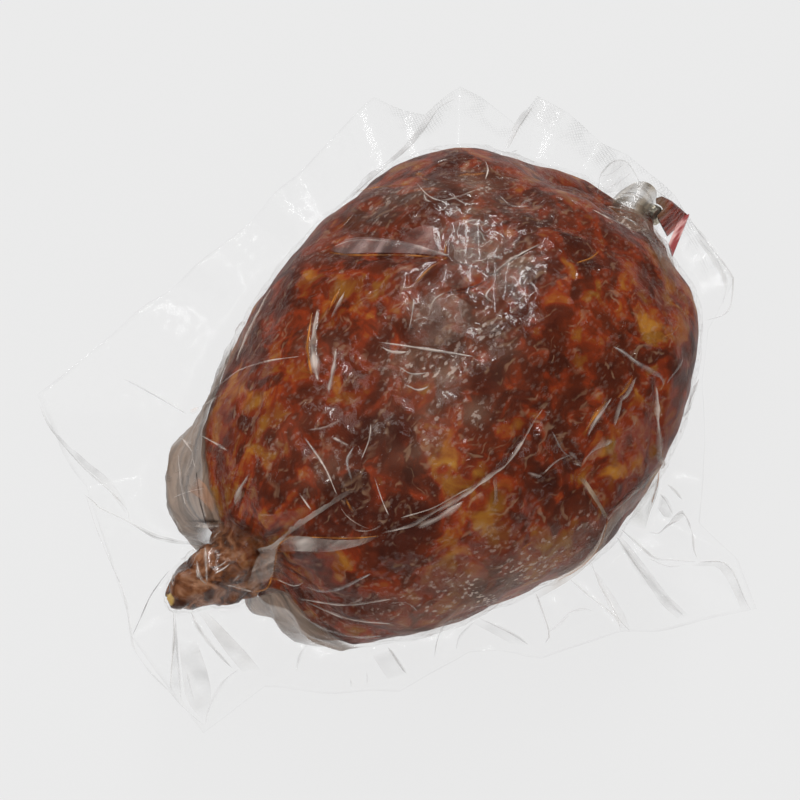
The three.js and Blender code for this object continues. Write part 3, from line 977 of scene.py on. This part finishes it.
def placed_sheet(bm, rows):
    """A sheet of quads whose corners stand at these rows of places. Gives its vertices by place."""
    along, across = len(rows) - 1, len(rows[0]) - 1
    sheet = {}
    for vert in bmesh.ops.create_grid(bm, x_segments=along, y_segments=across, size=1)["verts"]:
        i = round((vert.co.x + 1) / 2 * along)
        j = round((vert.co.y + 1) / 2 * across)
        vert.co = rows[i][j]
        sheet[i, j] = vert
    return sheet


def draped_heights(side, reach, ways):
    """The heights of one sheet: on the border's solid, and eased over what lies under it."""
    floor = np.zeros(reach.shape)
    rest = np.zeros(reach.shape)
    for i, way in enumerate(ways):
        known = BORDER_MIDDLE
        for j in reversed(range(ROWS)):
            x, y = way.x * reach[i, j], way.y * reach[i, j]
            height = plate_height(x, y)
            known = known if height is None else height
            rest[i, j] = known
            hit = inside.ray_cast(Vector((x, y, HIGH if side > 0 else LOW)), UP * -side)[0]
            floor[i, j] = -1.0 if hit is None else side * hit.z + 0.0003
    height = np.maximum(side * rest + FILM_GAP, floor)
    height[:, -1] = side * rest[:, -1]
    pinned = np.zeros_like(height, bool)
    pinned[:, 0] = pinned[:, -1] = True
    near = np.exp(-((reach - reach[:, :1]) / 0.008) ** 2)
    for _ in range(60):
        eased = (np.roll(height, 1, 0) + np.roll(height, -1, 0)) / 4 + height / 2
        eased[:, 1:-1] = eased[:, 1:-1] / 2 + (height[:, :-2] + height[:, 2:]) / 4
        eased = height + (eased - height) * near
        height = np.where(pinned, height, np.maximum(eased, floor))
    return side * height


ways = [Vector((math.cos(2 * math.pi * i / AROUND), math.sin(2 * math.pi * i / AROUND), 0))
        for i in range(AROUND)]
rims = [rim_reach(way) for way in ways]
bm = bmesh.new()
cover, tint = film_layers(bm)
weld = bm.verts.layers.float.new("weld")
for side in (1, -1):
    starts = [body_reach(way, BORDER_MIDDLE + side * ROOT_HEIGHT) - 0.0004 for way in ways]
    shares = [(j / (ROWS - 1)) ** 1.5 for j in range(ROWS)]
    reach = np.array([[a + (b - a) * share for share in shares] for a, b in zip(starts, rims)])
    height = draped_heights(side, reach, ways)
    order = [(-side * step) % AROUND for step in range(AROUND + 1)]
    rows = [[ways[i] * reach[i, j] + UP * height[i, j] for j in range(ROWS)] for i in order]
    for (step, j), vert in placed_sheet(bm, rows).items():
        i = order[step]
        turn = 360 * i / AROUND
        off = abs((turn - WELD_BEARING + 180) % 360 - 180)
        on_weld = 1 - fade(off, WELD_SPREAD - 6, WELD_SPREAD)
        vert[weld] = on_weld * (1 - fade(rims[i] - reach[i, j], WELD_WIDTH * 0.4, WELD_WIDTH))
        vert[tint] = (*CUT_EDGE_GREY, 1)
        if j == ROWS - 1:
            vert[cover] = CUT_EDGE_COVER * (0.4 + abs(noise.noise(vert.co * 90)) * 1.6)
bmesh.ops.remove_doubles(bm, verts=bm.verts, dist=1e-7)
for edge in bm.edges:
    edge.smooth = edge.calc_face_angle(0) < SHARP_ANGLE
border = as_piece("pouch_border", bm)
smooth_faces(border)
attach(border, "root")
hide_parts("vacuum_bag")


def embossing(nodes, links, where):
    """How much the fine cross hatch of the weld hides."""
    on_weld = nodes.new("ShaderNodeAttribute")
    on_weld.attribute_name = "weld"
    found = 0.0
    for turn in (0.5, 0.5 + math.pi / 2):
        spin = nodes.new("ShaderNodeMapping")
        spin.inputs["Rotation"].default_value = (0, 0, turn)
        links.new(where, spin.inputs["Vector"])
        lines = nodes.new("ShaderNodeTexWave")
        lines.inputs["Scale"].default_value = 0.314 / HATCH_PITCH
        lines.inputs["Distortion"].default_value = 2.4
        lines.inputs["Detail"].default_value = 1
        links.new(spin.outputs[0], lines.inputs["Vector"])
        cut = mask_ramp(nodes, 0.70, 0.95)
        links.new(lines.outputs["Fac"], cut.inputs["Value"])
        found = maths(nodes, links, "MAXIMUM", cut.outputs["Result"], found)
    worn = mask_ramp(nodes, 0.35, 0.60)
    links.new(noise_at(nodes, links, where, 140, 3), worn.inputs["Value"])
    seen = maths(nodes, links, "MULTIPLY", found, worn.outputs["Result"])
    seen = maths(nodes, links, "MULTIPLY", seen, on_weld.outputs["Fac"])
    return maths(nodes, links, "MULTIPLY", seen, 0.16)


border.data.materials.append(film_finish("border_film", 0.0002, 0.10, 0.004, weld=True))


# The folds of the film
# Pinched creases, standing webs and doubled strips of the same film, which the vacuum pressed
# together as it drew the pouch tight. They lie on the drawn film and on the border.
# Painted highlight on the crest of a crease.
PALE_HIGHLIGHT = ((0.60, 0.51, 0.45), 0.68)
AMBER = ((0.46, 0.17, 0.03), 0.80)
# Painted shade in the hollow beside a pinched crease.
DARK_SHADE = ((0.020, 0.008, 0.005), 0.70)
# Painted grey of a fold line: shade where it lies over the pale table, sheen where it lies over the dark mince.
GREY_SHADE_AND_SHEEN = ((0.40, 0.38, 0.36), 0.50)
# Painted faint shade along the border's soft folds.
FAINT_SHADE = ((0.40, 0.39, 0.38), 0.28)

# Each crease: its look, its width in millimetres and the pixels that it passes
BODY_CREASES = (
    (AMBER, 0.6, AMBER_VALLEY),
    (DARK_SHADE, 0.6, MIDDLE_VALLEY),
    (PALE_HIGHLIGHT, 0.6, ((494, 273), (509, 261), (532, 248), (541, 244))),
    (AMBER, 0.5, ((444, 256), (446, 243), (442, 233))),
    (AMBER, 0.6, UPPER_VALLEY),
    (PALE_HIGHLIGHT, 0.6, ((333, 247), (350, 241), (373, 240), (396, 243), (421, 248), (449, 256))),
    (PALE_HIGHLIGHT, 0.9, ((392, 242), (410, 245), (430, 250), (449, 256))),
    (DARK_SHADE, 0.6, HOOKED_VALLEY),
    (PALE_HIGHLIGHT, 1.8, ((318, 309), (313, 346), (318, 382))),
    (AMBER, 1.0, ((312, 312), (308, 346), (312, 376))),
    (PALE_HIGHLIGHT, 1.3, ((336, 349), (334, 365), (328, 393))),
    (PALE_HIGHLIGHT, 1.2, ((345, 291), (331, 318))),
    (AMBER, 0.9, ((340, 288), (328, 312))),
    (PALE_HIGHLIGHT, 0.5, ((414, 299), (412, 315), (409, 329))),
    (PALE_HIGHLIGHT, 0.6, ((378, 342), (420, 348), (476, 357))),
    (PALE_HIGHLIGHT, 0.5, ((205, 395), (222, 383), (240, 370), (268, 361), (301, 356))),
    (PALE_HIGHLIGHT, 1.3, ((382, 533), (410, 526), (433, 513), (466, 494), (493, 474), (506, 465), (523, 441),
                 (533, 423), (543, 409))),
    (PALE_HIGHLIGHT, 0.5, ((400, 518), (433, 508), (460, 493), (480, 483))),
    (PALE_HIGHLIGHT, 1.8, ((418, 527), (440, 517), (464, 501))),
    (DARK_SHADE, 0.5, ((400, 527), (433, 516), (466, 498))),
    (PALE_HIGHLIGHT, 1.4, ((636, 378), (627, 395), (620, 400))),
    (AMBER, 1.0, ((633, 376), (624, 392), (616, 398))),
    (PALE_HIGHLIGHT, 1.3, ((612, 398), (599, 415), (587, 437))),
    (AMBER, 1.0, ((607, 400), (595, 416), (584, 434))),
    (PALE_HIGHLIGHT, 1.1, ((622, 398), (614, 427))),
    (PALE_HIGHLIGHT, 1.4, ((612, 441), (596, 448), (582, 463))),
    (PALE_HIGHLIGHT, 0.5, ((543, 474), (557, 461), (573, 454))),
    (PALE_HIGHLIGHT, 0.8, ((569, 451), (577, 459))),
    (PALE_HIGHLIGHT, 0.8, ((573, 462), (581, 466))),
    (GREY_SHADE_AND_SHEEN, 0.4, ((552, 431), (562, 450), (573, 459))),
    (GREY_SHADE_AND_SHEEN, 1.0, ((613, 346), (626, 354), (639, 364), (661, 377), (663, 386))),
    (GREY_SHADE_AND_SHEEN, 0.8, ((682, 354), (681, 364), (666, 384))),
    (PALE_HIGHLIGHT, 1.5, ((656, 386), (658, 420), (661, 462))),
    (PALE_HIGHLIGHT, 1.3, ((655, 453), (663, 463), (659, 470))),
    (AMBER, 0.8, ((659, 468), (657, 485), (651, 505))),
    (AMBER, 0.7, ((600, 250), (591, 258), (576, 263))),
    (PALE_HIGHLIGHT, 0.5, ((416, 182), (429, 196), (446, 200), (486, 186))),
    (AMBER, 0.5, ((350, 193), (380, 187), (413, 184))),
    (GREY_SHADE_AND_SHEEN, 0.8, ((304, 587), (332, 591), (371, 574))),
    (PALE_HIGHLIGHT, 0.7, ((299, 599), (346, 605), (392, 599))),
    (PALE_HIGHLIGHT, 0.6, ((306, 602), (349, 619), (392, 624))),
    (PALE_HIGHLIGHT, 0.6, ((276, 579), (294, 586), (303, 583))),
    (GREY_SHADE_AND_SHEEN, 0.6, ((299, 614), (324, 629), (354, 637), (382, 636))),
    (PALE_HIGHLIGHT, 0.6, ((299, 493), (311, 510))),
    (PALE_HIGHLIGHT, 0.7, ((304, 437), (324, 466), (337, 495))),
    (PALE_HIGHLIGHT, 0.9, ((332, 437), (349, 446))),
    (PALE_HIGHLIGHT, 0.6, ((371, 423), (369, 440), (361, 460))),
    (GREY_SHADE_AND_SHEEN, 0.7, ((354, 446), (347, 461), (352, 481))),
    (PALE_HIGHLIGHT, 0.4, ((374, 476), (382, 500), (389, 516))),
    (PALE_HIGHLIGHT, 1.6, ((249, 475), (240, 489), (235, 505))),
    (PALE_HIGHLIGHT, 1.2, ((190, 412), (204, 406), (221, 394))),
    (PALE_HIGHLIGHT, 0.8, ((200, 435), (213, 442), (228, 451))),
    (PALE_HIGHLIGHT, 1.0, ((180, 435), (193, 455), (186, 476))),
    (PALE_HIGHLIGHT, 0.6, ((172, 498), (191, 491), (208, 488))),
    (DARK_SHADE, 1.0, ((183, 521), (221, 521))),
    (PALE_HIGHLIGHT, 1.3, ((183, 526), (221, 526))),
    (PALE_HIGHLIGHT, 1.5, ((221, 529), (213, 539))),
    (PALE_HIGHLIGHT, 0.8, ((205, 546), (206, 560), (207, 583))),
    (PALE_HIGHLIGHT, 0.5, ((213, 569), (221, 565), (228, 560))),
    (PALE_HIGHLIGHT, 0.5, ((214, 574), (223, 569), (231, 563))),
    (PALE_HIGHLIGHT, 0.4, ((215, 557), (223, 553))),
    (PALE_HIGHLIGHT, 0.5, ((240, 574), (235, 579), (231, 583))),
    (PALE_HIGHLIGHT, 0.5, ((174, 572), (172, 580), (173, 586))),
    (DARK_SHADE, 0.8, ((196, 470), (200, 500), (206, 524))),
    (PALE_HIGHLIGHT, 0.9, ((178, 452), (181, 480), (186, 506))),
    (PALE_HIGHLIGHT, 0.7, ((196, 436), (192, 452), (196, 470))),
    (PALE_HIGHLIGHT, 0.8, ((197, 560), (199, 575), (207, 585))),
    (PALE_HIGHLIGHT, 1.0, ((197, 569), (199, 579))),
    (PALE_HIGHLIGHT, 0.6, ((224, 585), (233, 586), (243, 589), (253, 592))),
    (AMBER, 0.6, ((253, 592), (266, 589), (272, 577), (276, 562), (277, 546), (290, 537))),
    (AMBER, 0.6, ((289, 536), (331, 538), (356, 538), (379, 536))),
    (PALE_HIGHLIGHT, 1.2, ((660, 468), (639, 488), (616, 509), (606, 522))),
    (DARK_SHADE, 0.5, ((657, 467), (636, 487), (613, 508), (603, 520))),
    (PALE_HIGHLIGHT, 1.2, ((606, 523), (597, 546), (579, 567), (553, 581))),
    (AMBER, 0.6, ((608, 520), (600, 545), (582, 566), (556, 582))),
    (PALE_HIGHLIGHT, 0.9, ((236, 362), (245, 340), (262, 305), (272, 287))),
    (PALE_HIGHLIGHT, 0.6, ((633, 222), (646, 236), (658, 248), (661, 260))),
    (PALE_HIGHLIGHT, 0.6, ((600, 205), (622, 209), (640, 214), (650, 219))),
    (DARK_SHADE, 0.5, ((600, 208), (622, 212), (640, 217), (650, 221))),
    (GREY_SHADE_AND_SHEEN, 0.5, ((612, 200), (628, 201), (642, 207), (650, 214))),
    (PALE_HIGHLIGHT, 0.5, ((621, 193), (634, 195), (645, 203), (651, 213))),
    (DARK_SHADE, 0.4, ((625, 192), (638, 194), (648, 203), (652, 212))),
    (GREY_SHADE_AND_SHEEN, 0.5, ((637, 185), (646, 191), (652, 201), (654, 210))),
    (PALE_HIGHLIGHT, 0.7, ((640, 212), (645, 220), (649, 230), (655, 238))),
    (GREY_SHADE_AND_SHEEN, 0.6, ((604, 204), (616, 214), (630, 220), (642, 228), (652, 240))),
    (PALE_HIGHLIGHT, 0.5, ((592, 209), (610, 219), (626, 226), (636, 236))),
    (PALE_HIGHLIGHT, 0.5, ((428, 218), (440, 221))),
    (PALE_HIGHLIGHT, 0.6, ((426, 227), (437, 226))),
    (PALE_HIGHLIGHT, 0.5, ((424, 193), (426, 200), (432, 202))),
    (PALE_HIGHLIGHT, 0.6, ((437, 163), (443, 160), (449, 160))),
    (PALE_HIGHLIGHT, 0.5, ((485, 160), (488, 170), (485, 180))),
    (PALE_HIGHLIGHT, 0.6, ((462, 224), (476, 220), (490, 226))),
    (PALE_HIGHLIGHT, 0.6, ((470, 236), (480, 232), (486, 244))),
    (PALE_HIGHLIGHT, 0.5, ((452, 196), (466, 204), (478, 203))),
    (PALE_HIGHLIGHT, 0.5, ((500, 196), (512, 206), (530, 206))),
    (PALE_HIGHLIGHT, 0.6, ((494, 284), (486, 296), (496, 304))),
    (PALE_HIGHLIGHT, 0.6, ((446, 292), (434, 300), (428, 318))),
    (PALE_HIGHLIGHT, 0.7, ((380, 346), (392, 352), (408, 352))),
    (PALE_HIGHLIGHT, 0.7, ((398, 366), (412, 374), (432, 372))),
    (PALE_HIGHLIGHT, 0.6, ((404, 384), (418, 390), (430, 386))),
)
BORDER_CREASES = (
    (GREY_SHADE_AND_SHEEN, 0.5, ((597, 196), (599, 184), (601, 174), (613, 162), (625, 161), (633, 170), (641, 185))),
    (FAINT_SHADE, 0.5, ((601, 176), (612, 173), (626, 162))),
    (FAINT_SHADE, 0.4, ((606, 188), (618, 183), (632, 172))),
    (GREY_SHADE_AND_SHEEN, 0.5, ((456, 98), (439, 108), (422, 133), (403, 153), (376, 175), (350, 199))),
    (GREY_SHADE_AND_SHEEN, 0.5, ((534, 105), (527, 116), (518, 130), (510, 145), (506, 155))),
    (GREY_SHADE_AND_SHEEN, 0.4, ((507, 153), (519, 150))),
    (GREY_SHADE_AND_SHEEN, 0.6, ((689, 216), (696, 228), (719, 258), (731, 274), (733, 283), (730, 307), (721, 316),
                 (702, 321))),
    (FAINT_SHADE, 1.5, ((700, 240), (718, 264), (726, 285), (722, 305))),
    (GREY_SHADE_AND_SHEEN, 0.4, ((656, 190), (673, 203), (689, 216))),
    (GREY_SHADE_AND_SHEEN, 0.4, ((124, 379), (136, 385), (156, 396), (175, 407), (187, 414))),
    (GREY_SHADE_AND_SHEEN, 0.5, ((39, 403), (47, 423), (61, 442), (83, 467), (102, 484), (117, 498), (127, 510),
                 (129, 520))),
    (GREY_SHADE_AND_SHEEN, 0.4, ((84, 494), (95, 503), (100, 508), (127, 521), (153, 536), (170, 540), (190, 544),
                 (204, 545))),
    (FAINT_SHADE, 0.6, ((86, 496), (97, 530), (110, 561), (124, 595), (131, 634), (135, 650), (150, 672),
                  (171, 693), (181, 705), (203, 725))),
    (FAINT_SHADE, 0.8, ((205, 725), (210, 706), (223, 682), (239, 669))),
    (DARK_SHADE, 0.4, ((132, 636), (141, 617), (150, 597), (163, 578), (170, 570))),
    (GREY_SHADE_AND_SHEEN, 0.5, ((173, 610), (174, 639), (171, 675), (171, 692))),
    (FAINT_SHADE, 0.5, ((175, 610), (177, 651), (180, 682), (181, 702))),
    (FAINT_SHADE, 0.8, ((187, 673), (193, 699))),
    (GREY_SHADE_AND_SHEEN, 0.8, ((191, 612), (199, 629), (215, 650), (232, 668))),
    (GREY_SHADE_AND_SHEEN, 0.5, ((667, 484), (676, 492), (682, 500))),
    (GREY_SHADE_AND_SHEEN, 0.6, ((660, 494), (666, 501), (673, 515))),
    (GREY_SHADE_AND_SHEEN, 0.5, ((673, 517), (681, 513), (686, 517), (692, 533), (694, 550), (697, 558))),
    (GREY_SHADE_AND_SHEEN, 0.5, ((678, 520), (667, 526), (659, 533), (649, 532))),
    (GREY_SHADE_AND_SHEEN, 0.5, ((699, 562), (721, 562), (730, 568), (736, 578), (746, 602), (752, 611))),
    (GREY_SHADE_AND_SHEEN, 0.6, ((621, 529), (640, 546), (655, 558), (673, 560), (697, 562))),
    (FAINT_SHADE, 2.2, ((617, 537), (627, 552), (637, 567), (649, 581), (667, 601), (684, 616))),
    (GREY_SHADE_AND_SHEEN, 0.5, ((617, 537), (627, 552), (637, 567), (649, 581))),
    (GREY_SHADE_AND_SHEEN, 0.4, ((650, 559), (667, 566), (681, 566))),
    (GREY_SHADE_AND_SHEEN, 0.5, ((591, 561), (600, 586), (610, 602), (618, 618), (631, 632))),
    (GREY_SHADE_AND_SHEEN, 0.5, ((569, 578), (588, 595), (606, 609), (617, 619), (621, 632))),
    (FAINT_SHADE, 0.5, ((560, 622), (569, 613), (583, 609), (594, 611))),
    (GREY_SHADE_AND_SHEEN, 0.4, ((479, 618), (512, 634), (529, 645))),
    (GREY_SHADE_AND_SHEEN, 0.5, ((536, 593), (549, 632), (545, 643))),
    (FAINT_SHADE, 0.5, ((549, 632), (570, 615))),
    (GREY_SHADE_AND_SHEEN, 0.5, ((473, 617), (447, 623), (438, 638), (434, 658))),
    (FAINT_SHADE, 0.5, ((475, 621), (460, 636), (456, 650))),
    (GREY_SHADE_AND_SHEEN, 0.6, ((388, 647), (406, 674))),
    (FAINT_SHADE, 0.5, ((310, 640), (300, 655), (296, 672))),
    (FAINT_SHADE, 0.4, ((351, 678), (351, 687))),
    (FAINT_SHADE, 0.4, ((367, 672), (367, 685))),
)
# Each web: its tint, how much it hides, and its upper and lower edges. The tints are partly the
# standing film's own cloudiness and partly painted light and shade: paler where a web catches the
# light, dark grey-brown where it lies in shade, as round the clip.
WEBS = (
    ((0.42, 0.30, 0.28), 0.45,
     ((333, 247), (350, 241), (373, 240), (396, 243), (421, 248), (449, 256)),
     ((328, 250), (346, 254), (373, 253), (396, 253.5), (421, 254), (449, 257))),
    ((0.42, 0.36, 0.32), 0.55,
     ((281, 538), (307, 536), (331, 539), (356, 539), (379, 536)),
     ((281, 551), (307, 551), (332, 551), (357, 546), (372, 541))),
    ((0.36, 0.31, 0.27), 0.50,
     ((355, 487), (330, 500), (304, 516), (279, 536), (258, 551), (251, 566), (249, 578), (246, 590)),
     ((356, 490), (333, 505), (309, 521), (284, 539), (276, 552), (275, 563), (272, 577), (256, 592))),
    ((0.45, 0.25, 0.22), 0.40,
     ((399, 243), (410, 233), (425, 228), (439, 229)),
     ((401, 246), (413, 247), (428, 250), (442, 254))),
    ((0.36, 0.26, 0.17), 0.70, ((577, 478), (590, 499), (603, 519)), ((583, 476), (597, 497), (609, 519))),
    ((0.30, 0.20, 0.15), 0.50, ((493, 476), (492, 504)), ((497, 476), (497, 503))),
    ((0.50, 0.23, 0.12), 0.45,
     ((197, 476), (207, 484), (218, 501)), ((189, 490), (202, 500), (214, 514))),
    ((0.24, 0.16, 0.125), 0.22,
     ((443, 236), (452, 226), (470, 222), (489, 226)), ((446, 252), (458, 262), (474, 264), (488, 254))),
    ((0.24, 0.16, 0.125), 0.24,
     ((440, 268), (455, 264), (470, 266), (481, 272)), ((441, 281), (452, 288), (466, 287), (478, 279))),
    ((0.24, 0.15, 0.115), 0.22,
     ((412, 306), (430, 296), (452, 298), (474, 308)), ((405, 338), (428, 346), (452, 344), (470, 330))),
    ((0.28, 0.19, 0.150), 0.22,
     ((488, 266), (503, 262), (518, 268), (528, 280)), ((487, 283), (500, 298), (513, 302), (524, 297))),
    ((0.20, 0.125, 0.085), 0.52,
     ((612, 208), (630, 211), (645, 221), (656, 236), (667, 256), (680, 288)),
     ((622, 217), (635, 223), (646, 236), (654, 252), (664, 270), (677, 291))),
    ((0.16, 0.12, 0.085), 0.80,
     ((609, 204), (622, 199), (637, 198), (650, 204)), ((610, 206), (622, 210), (636, 214), (648, 219))),
    ((0.19, 0.155, 0.115), 0.80,
     ((609, 203), (622, 191), (637, 183), (648, 184), (656, 192), (656, 203)),
     ((609, 204), (622, 205), (634, 208), (642, 212), (648, 213), (652, 212))),
    ((0.36, 0.29, 0.23), 0.32,
     ((662, 462), (641, 483), (615, 507), (603, 524), (591, 547), (566, 571), (532, 592)),
     ((667, 470), (647, 493), (622, 516), (609, 534), (597, 555), (571, 579), (536, 600))),
)
# The border's webs: grey bands of painted shade along its folds.
BORDER_WEBS = (
    ((0.50, 0.49, 0.46), 0.40,
     ((659, 474), (645, 488), (632, 508), (627, 524)),
     ((660, 482), (655, 500), (650, 512), (645, 530))),
    ((0.45, 0.43, 0.41), 0.27,
     ((207, 612), (226, 632), (246, 653), (262, 671)),
     ((199, 613), (213, 634), (228, 655), (243, 673))),
    ((0.42, 0.41, 0.40), 0.20,
     ((196, 640), (206, 668), (211, 692), (209, 714)),
     ((179, 642), (182, 672), (187, 700), (203, 722))),
    ((0.40, 0.40, 0.39), 0.17,
     ((173, 611), (174, 640), (172, 675), (172, 694)),
     ((175, 611), (178, 650), (180, 682), (181, 702))),
    ((0.45, 0.43, 0.42), 0.34,
     ((434, 107), (413, 137), (396, 155), (364, 182), (345, 199)),
     ((441, 106), (422, 133), (403, 153), (376, 175), (350, 199))),
    ((0.45, 0.43, 0.42), 0.26,
     ((528, 107), (522, 118), (512, 135), (503, 152)),
     ((534, 107), (527, 117), (518, 130), (508, 150))),
    ((0.42, 0.41, 0.40), 0.20,
     ((42, 405), (50, 425), (66, 442), (88, 464), (110, 483), (126, 503)),
     ((40, 403), (48, 424), (63, 443), (84, 467), (103, 484), (129, 518))),
    ((0.42, 0.41, 0.40), 0.30,
     ((127, 521), (153, 534), (170, 539), (190, 543), (205, 545)),
     ((128, 523), (153, 538), (170, 543), (190, 545), (205, 546))),
    ((0.42, 0.41, 0.40), 0.26,
     ((660, 494), (666, 501), (673, 515)), ((657, 508), (664, 517), (672, 518))),
    ((0.42, 0.41, 0.40), 0.31,
     ((673, 517), (681, 513), (685, 517)), ((660, 533), (668, 527), (680, 521))),
    ((0.42, 0.41, 0.40), 0.24,
     ((612, 528), (630, 548), (648, 570), (668, 595), (690, 616)),
     ((616, 540), (632, 562), (648, 585), (662, 605), (679, 620))),
    ((0.42, 0.41, 0.40), 0.20,
     ((585, 560), (600, 580), (615, 603), (630, 630)), ((590, 562), (602, 590), (610, 612), (623, 632))),
    ((0.42, 0.41, 0.40), 0.17,
     ((699, 562), (721, 562), (733, 572), (746, 600), (751, 610)),
     ((690, 566), (715, 567), (726, 578), (737, 600), (741, 612))),
    ((0.42, 0.41, 0.40), 0.17,
     ((600, 178), (613, 163), (626, 162), (634, 172)), ((598, 195), (610, 193), (626, 191), (639, 187))),
    ((0.42, 0.41, 0.40), 0.20,
     ((698, 230), (718, 258), (731, 276), (732, 288)), ((694, 236), (712, 262), (722, 280), (724, 296))),
    ((0.42, 0.41, 0.40), 0.14,
     ((479, 618), (512, 634), (529, 645)), ((470, 622), (500, 638), (512, 645))),
    ((0.42, 0.41, 0.40), 0.14,
     ((390, 650), (400, 662), (408, 674)), ((372, 655), (380, 668), (388, 680))),
)
WEB_LIFT = 0.0007
WEB_BULGE = 0.0002
SHORT_CREASES = 46
SHORT_LOOKS = ((PALE_HIGHLIGHT[0], 0.22), (PALE_HIGHLIGHT[0], 0.38), (PALE_WRINKLE_HIGHLIGHT, 0.50), (AMBER[0], 0.45),
               (AMBER[0], 0.35))
SHORT_STEP = 0.0014
LONGEST_STEP = 0.006  # past this, the film has stepped back behind an edge and a crease ends

bm = bmesh.new()
bm.from_mesh(skin.data)
bm.from_mesh(border.data)
film_tree = BVHTree.FromBMesh(bm)
bm.free()


def on_film(pixel):
    """The point of the film that shows at a pixel, and the way it faces."""
    way = sight(*pixel)
    place, normal = film_tree.ray_cast(EYE, way)[:2]
    if place is None:
        return seen_at_height(*pixel, BORDER_MIDDLE), UP
    return place, -normal if normal.dot(way) > 0 else normal


def unbroken_parts(route):
    """The parts of a route between its long steps."""
    parts = [[route[0]]]
    for stop in route[1:]:
        if (stop[0] - parts[-1][-1][0]).length > LONGEST_STEP:
            parts.append([])
        parts[-1].append(stop)
    return [part for part in parts if len(part) > 2]


def raise_crease(bm, route, look, width):
    """A tent of film along a route of places and the ways that they face."""
    colour, most = look
    places = [place for place, _ in route]
    ahead = [*places[1:], places[-1] * 2 - places[-2]]
    behind = [places[0] * 2 - places[1], *places[:-1]]
    rows = []
    for (place, normal), after, before in zip(route, ahead, behind):
        swell = math.sin(math.pi * (len(rows) + 0.6) / (len(route) + 0.2)) ** 0.6
        swell *= 0.75 + noise.noise(place * 260) * 0.8
        side = normal.cross(after - before).normalized() * width * 0.75 * swell
        sunk = place - normal * 0.0001
        rows.append((sunk - side, place + normal * width * 0.5 * swell, sunk + side))
    cover, tint = bm.verts.layers.float["cover"], bm.verts.layers.float_color["tint"]
    for (i, j), vert in placed_sheet(bm, rows).items():
        vert[tint] = (*colour, 1)
        fray = 0.9 + noise.noise(vert.co * 330) * 0.7
        vert[cover] = min(max(most * fray, 0), 1) if j == 1 and 0 < i < len(rows) - 1 else 0


def raise_web(bm, colour, most, upper, lower):
    """A standing strip of film between two edges, a little rounded, its upper edge off the film."""
    tops, feet = curve_through(upper), curve_through(lower)
    count = max(len(tops), len(feet), 4)
    rows = []
    for i in range(count):
        share = i / (count - 1)
        top, top_way = on_film(tops[round(share * (len(tops) - 1))])
        foot, foot_way = on_film(feet[round(share * (len(feet) - 1))])
        swell = min(1, 5 * min(share, 1 - share))
        row = []
        for step in range(5):
            t = step / 4
            way = top_way.lerp(foot_way, t)
            lift = WEB_LIFT * (1 - t) + WEB_BULGE * math.sin(math.pi * t)
            row.append(top.lerp(foot, t) + way * (lift * swell + 0.0002))
        rows.append(row)
    facing = (rows[2][2] - rows[1][2]).cross(rows[1][3] - rows[1][1])
    if facing.dot(EYE - rows[1][2]) < 0:
        rows = [row[::-1] for row in rows]
    cover, tint = bm.verts.layers.float["cover"], bm.verts.layers.float_color["tint"]
    for (i, j), vert in placed_sheet(bm, rows).items():
        vert[tint] = (*colour, 1)
        streak = 0.8 + noise.noise(vert.co * 300) * 0.9
        vert[cover] = min(max(most * streak, 0), 1) * min(1, 6 * min(i, count - 1 - i) / count)


def wander(start, heading, turn, steps):
    """A route of short steps over the film that keeps bending one way."""
    route = []
    place = start
    for _ in range(steps):
        near, normal = film_tree.find_nearest(place)[:2]
        route.append((near, normal))
        heading = (heading - normal * heading.dot(normal)).normalized()
        heading = (heading + normal.cross(heading) * turn).normalized()
        place = near + heading * SHORT_STEP
    return route


def fold_piece(name, creases, webs, short_creases, finish):
    """One mesh of creases and webs, with some short creases strewn over the drawn film."""
    bm = bmesh.new()
    film_layers(bm)
    for look, width, corners in creases:
        for part in unbroken_parts([on_film(pixel) for pixel in curve_through(corners)]):
            raise_crease(bm, part, look, width / 1000)
    for colour, most, upper, lower in webs:
        raise_web(bm, colour, most, upper, lower)
    starts = [vert.co.copy() for vert in skin.data.vertices if vert.co.z > 0.004]
    chance = random.Random(11)
    for start in chance.sample(starts, short_creases):
        heading = Vector([chance.uniform(-1, 1) for _ in range(3)])
        look = chance.choice(SHORT_LOOKS)
        route = wander(start, heading, chance.uniform(-0.35, 0.35), chance.randint(4, 8))
        raise_crease(bm, route, look, chance.uniform(0.0005, 0.0013))
    piece = as_piece(name, bm)
    smooth_faces(piece)
    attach(piece, "root")
    piece.data.materials.append(finish)


fold_piece("film_folds", BODY_CREASES, WEBS, SHORT_CREASES,
           film_finish("folded_film", 0.0002, 0.10, 0.03))
fold_piece("border_folds", BORDER_CREASES, BORDER_WEBS, 0,
           film_finish("folded_border_film", 0.0002, 0.05, 0.006))
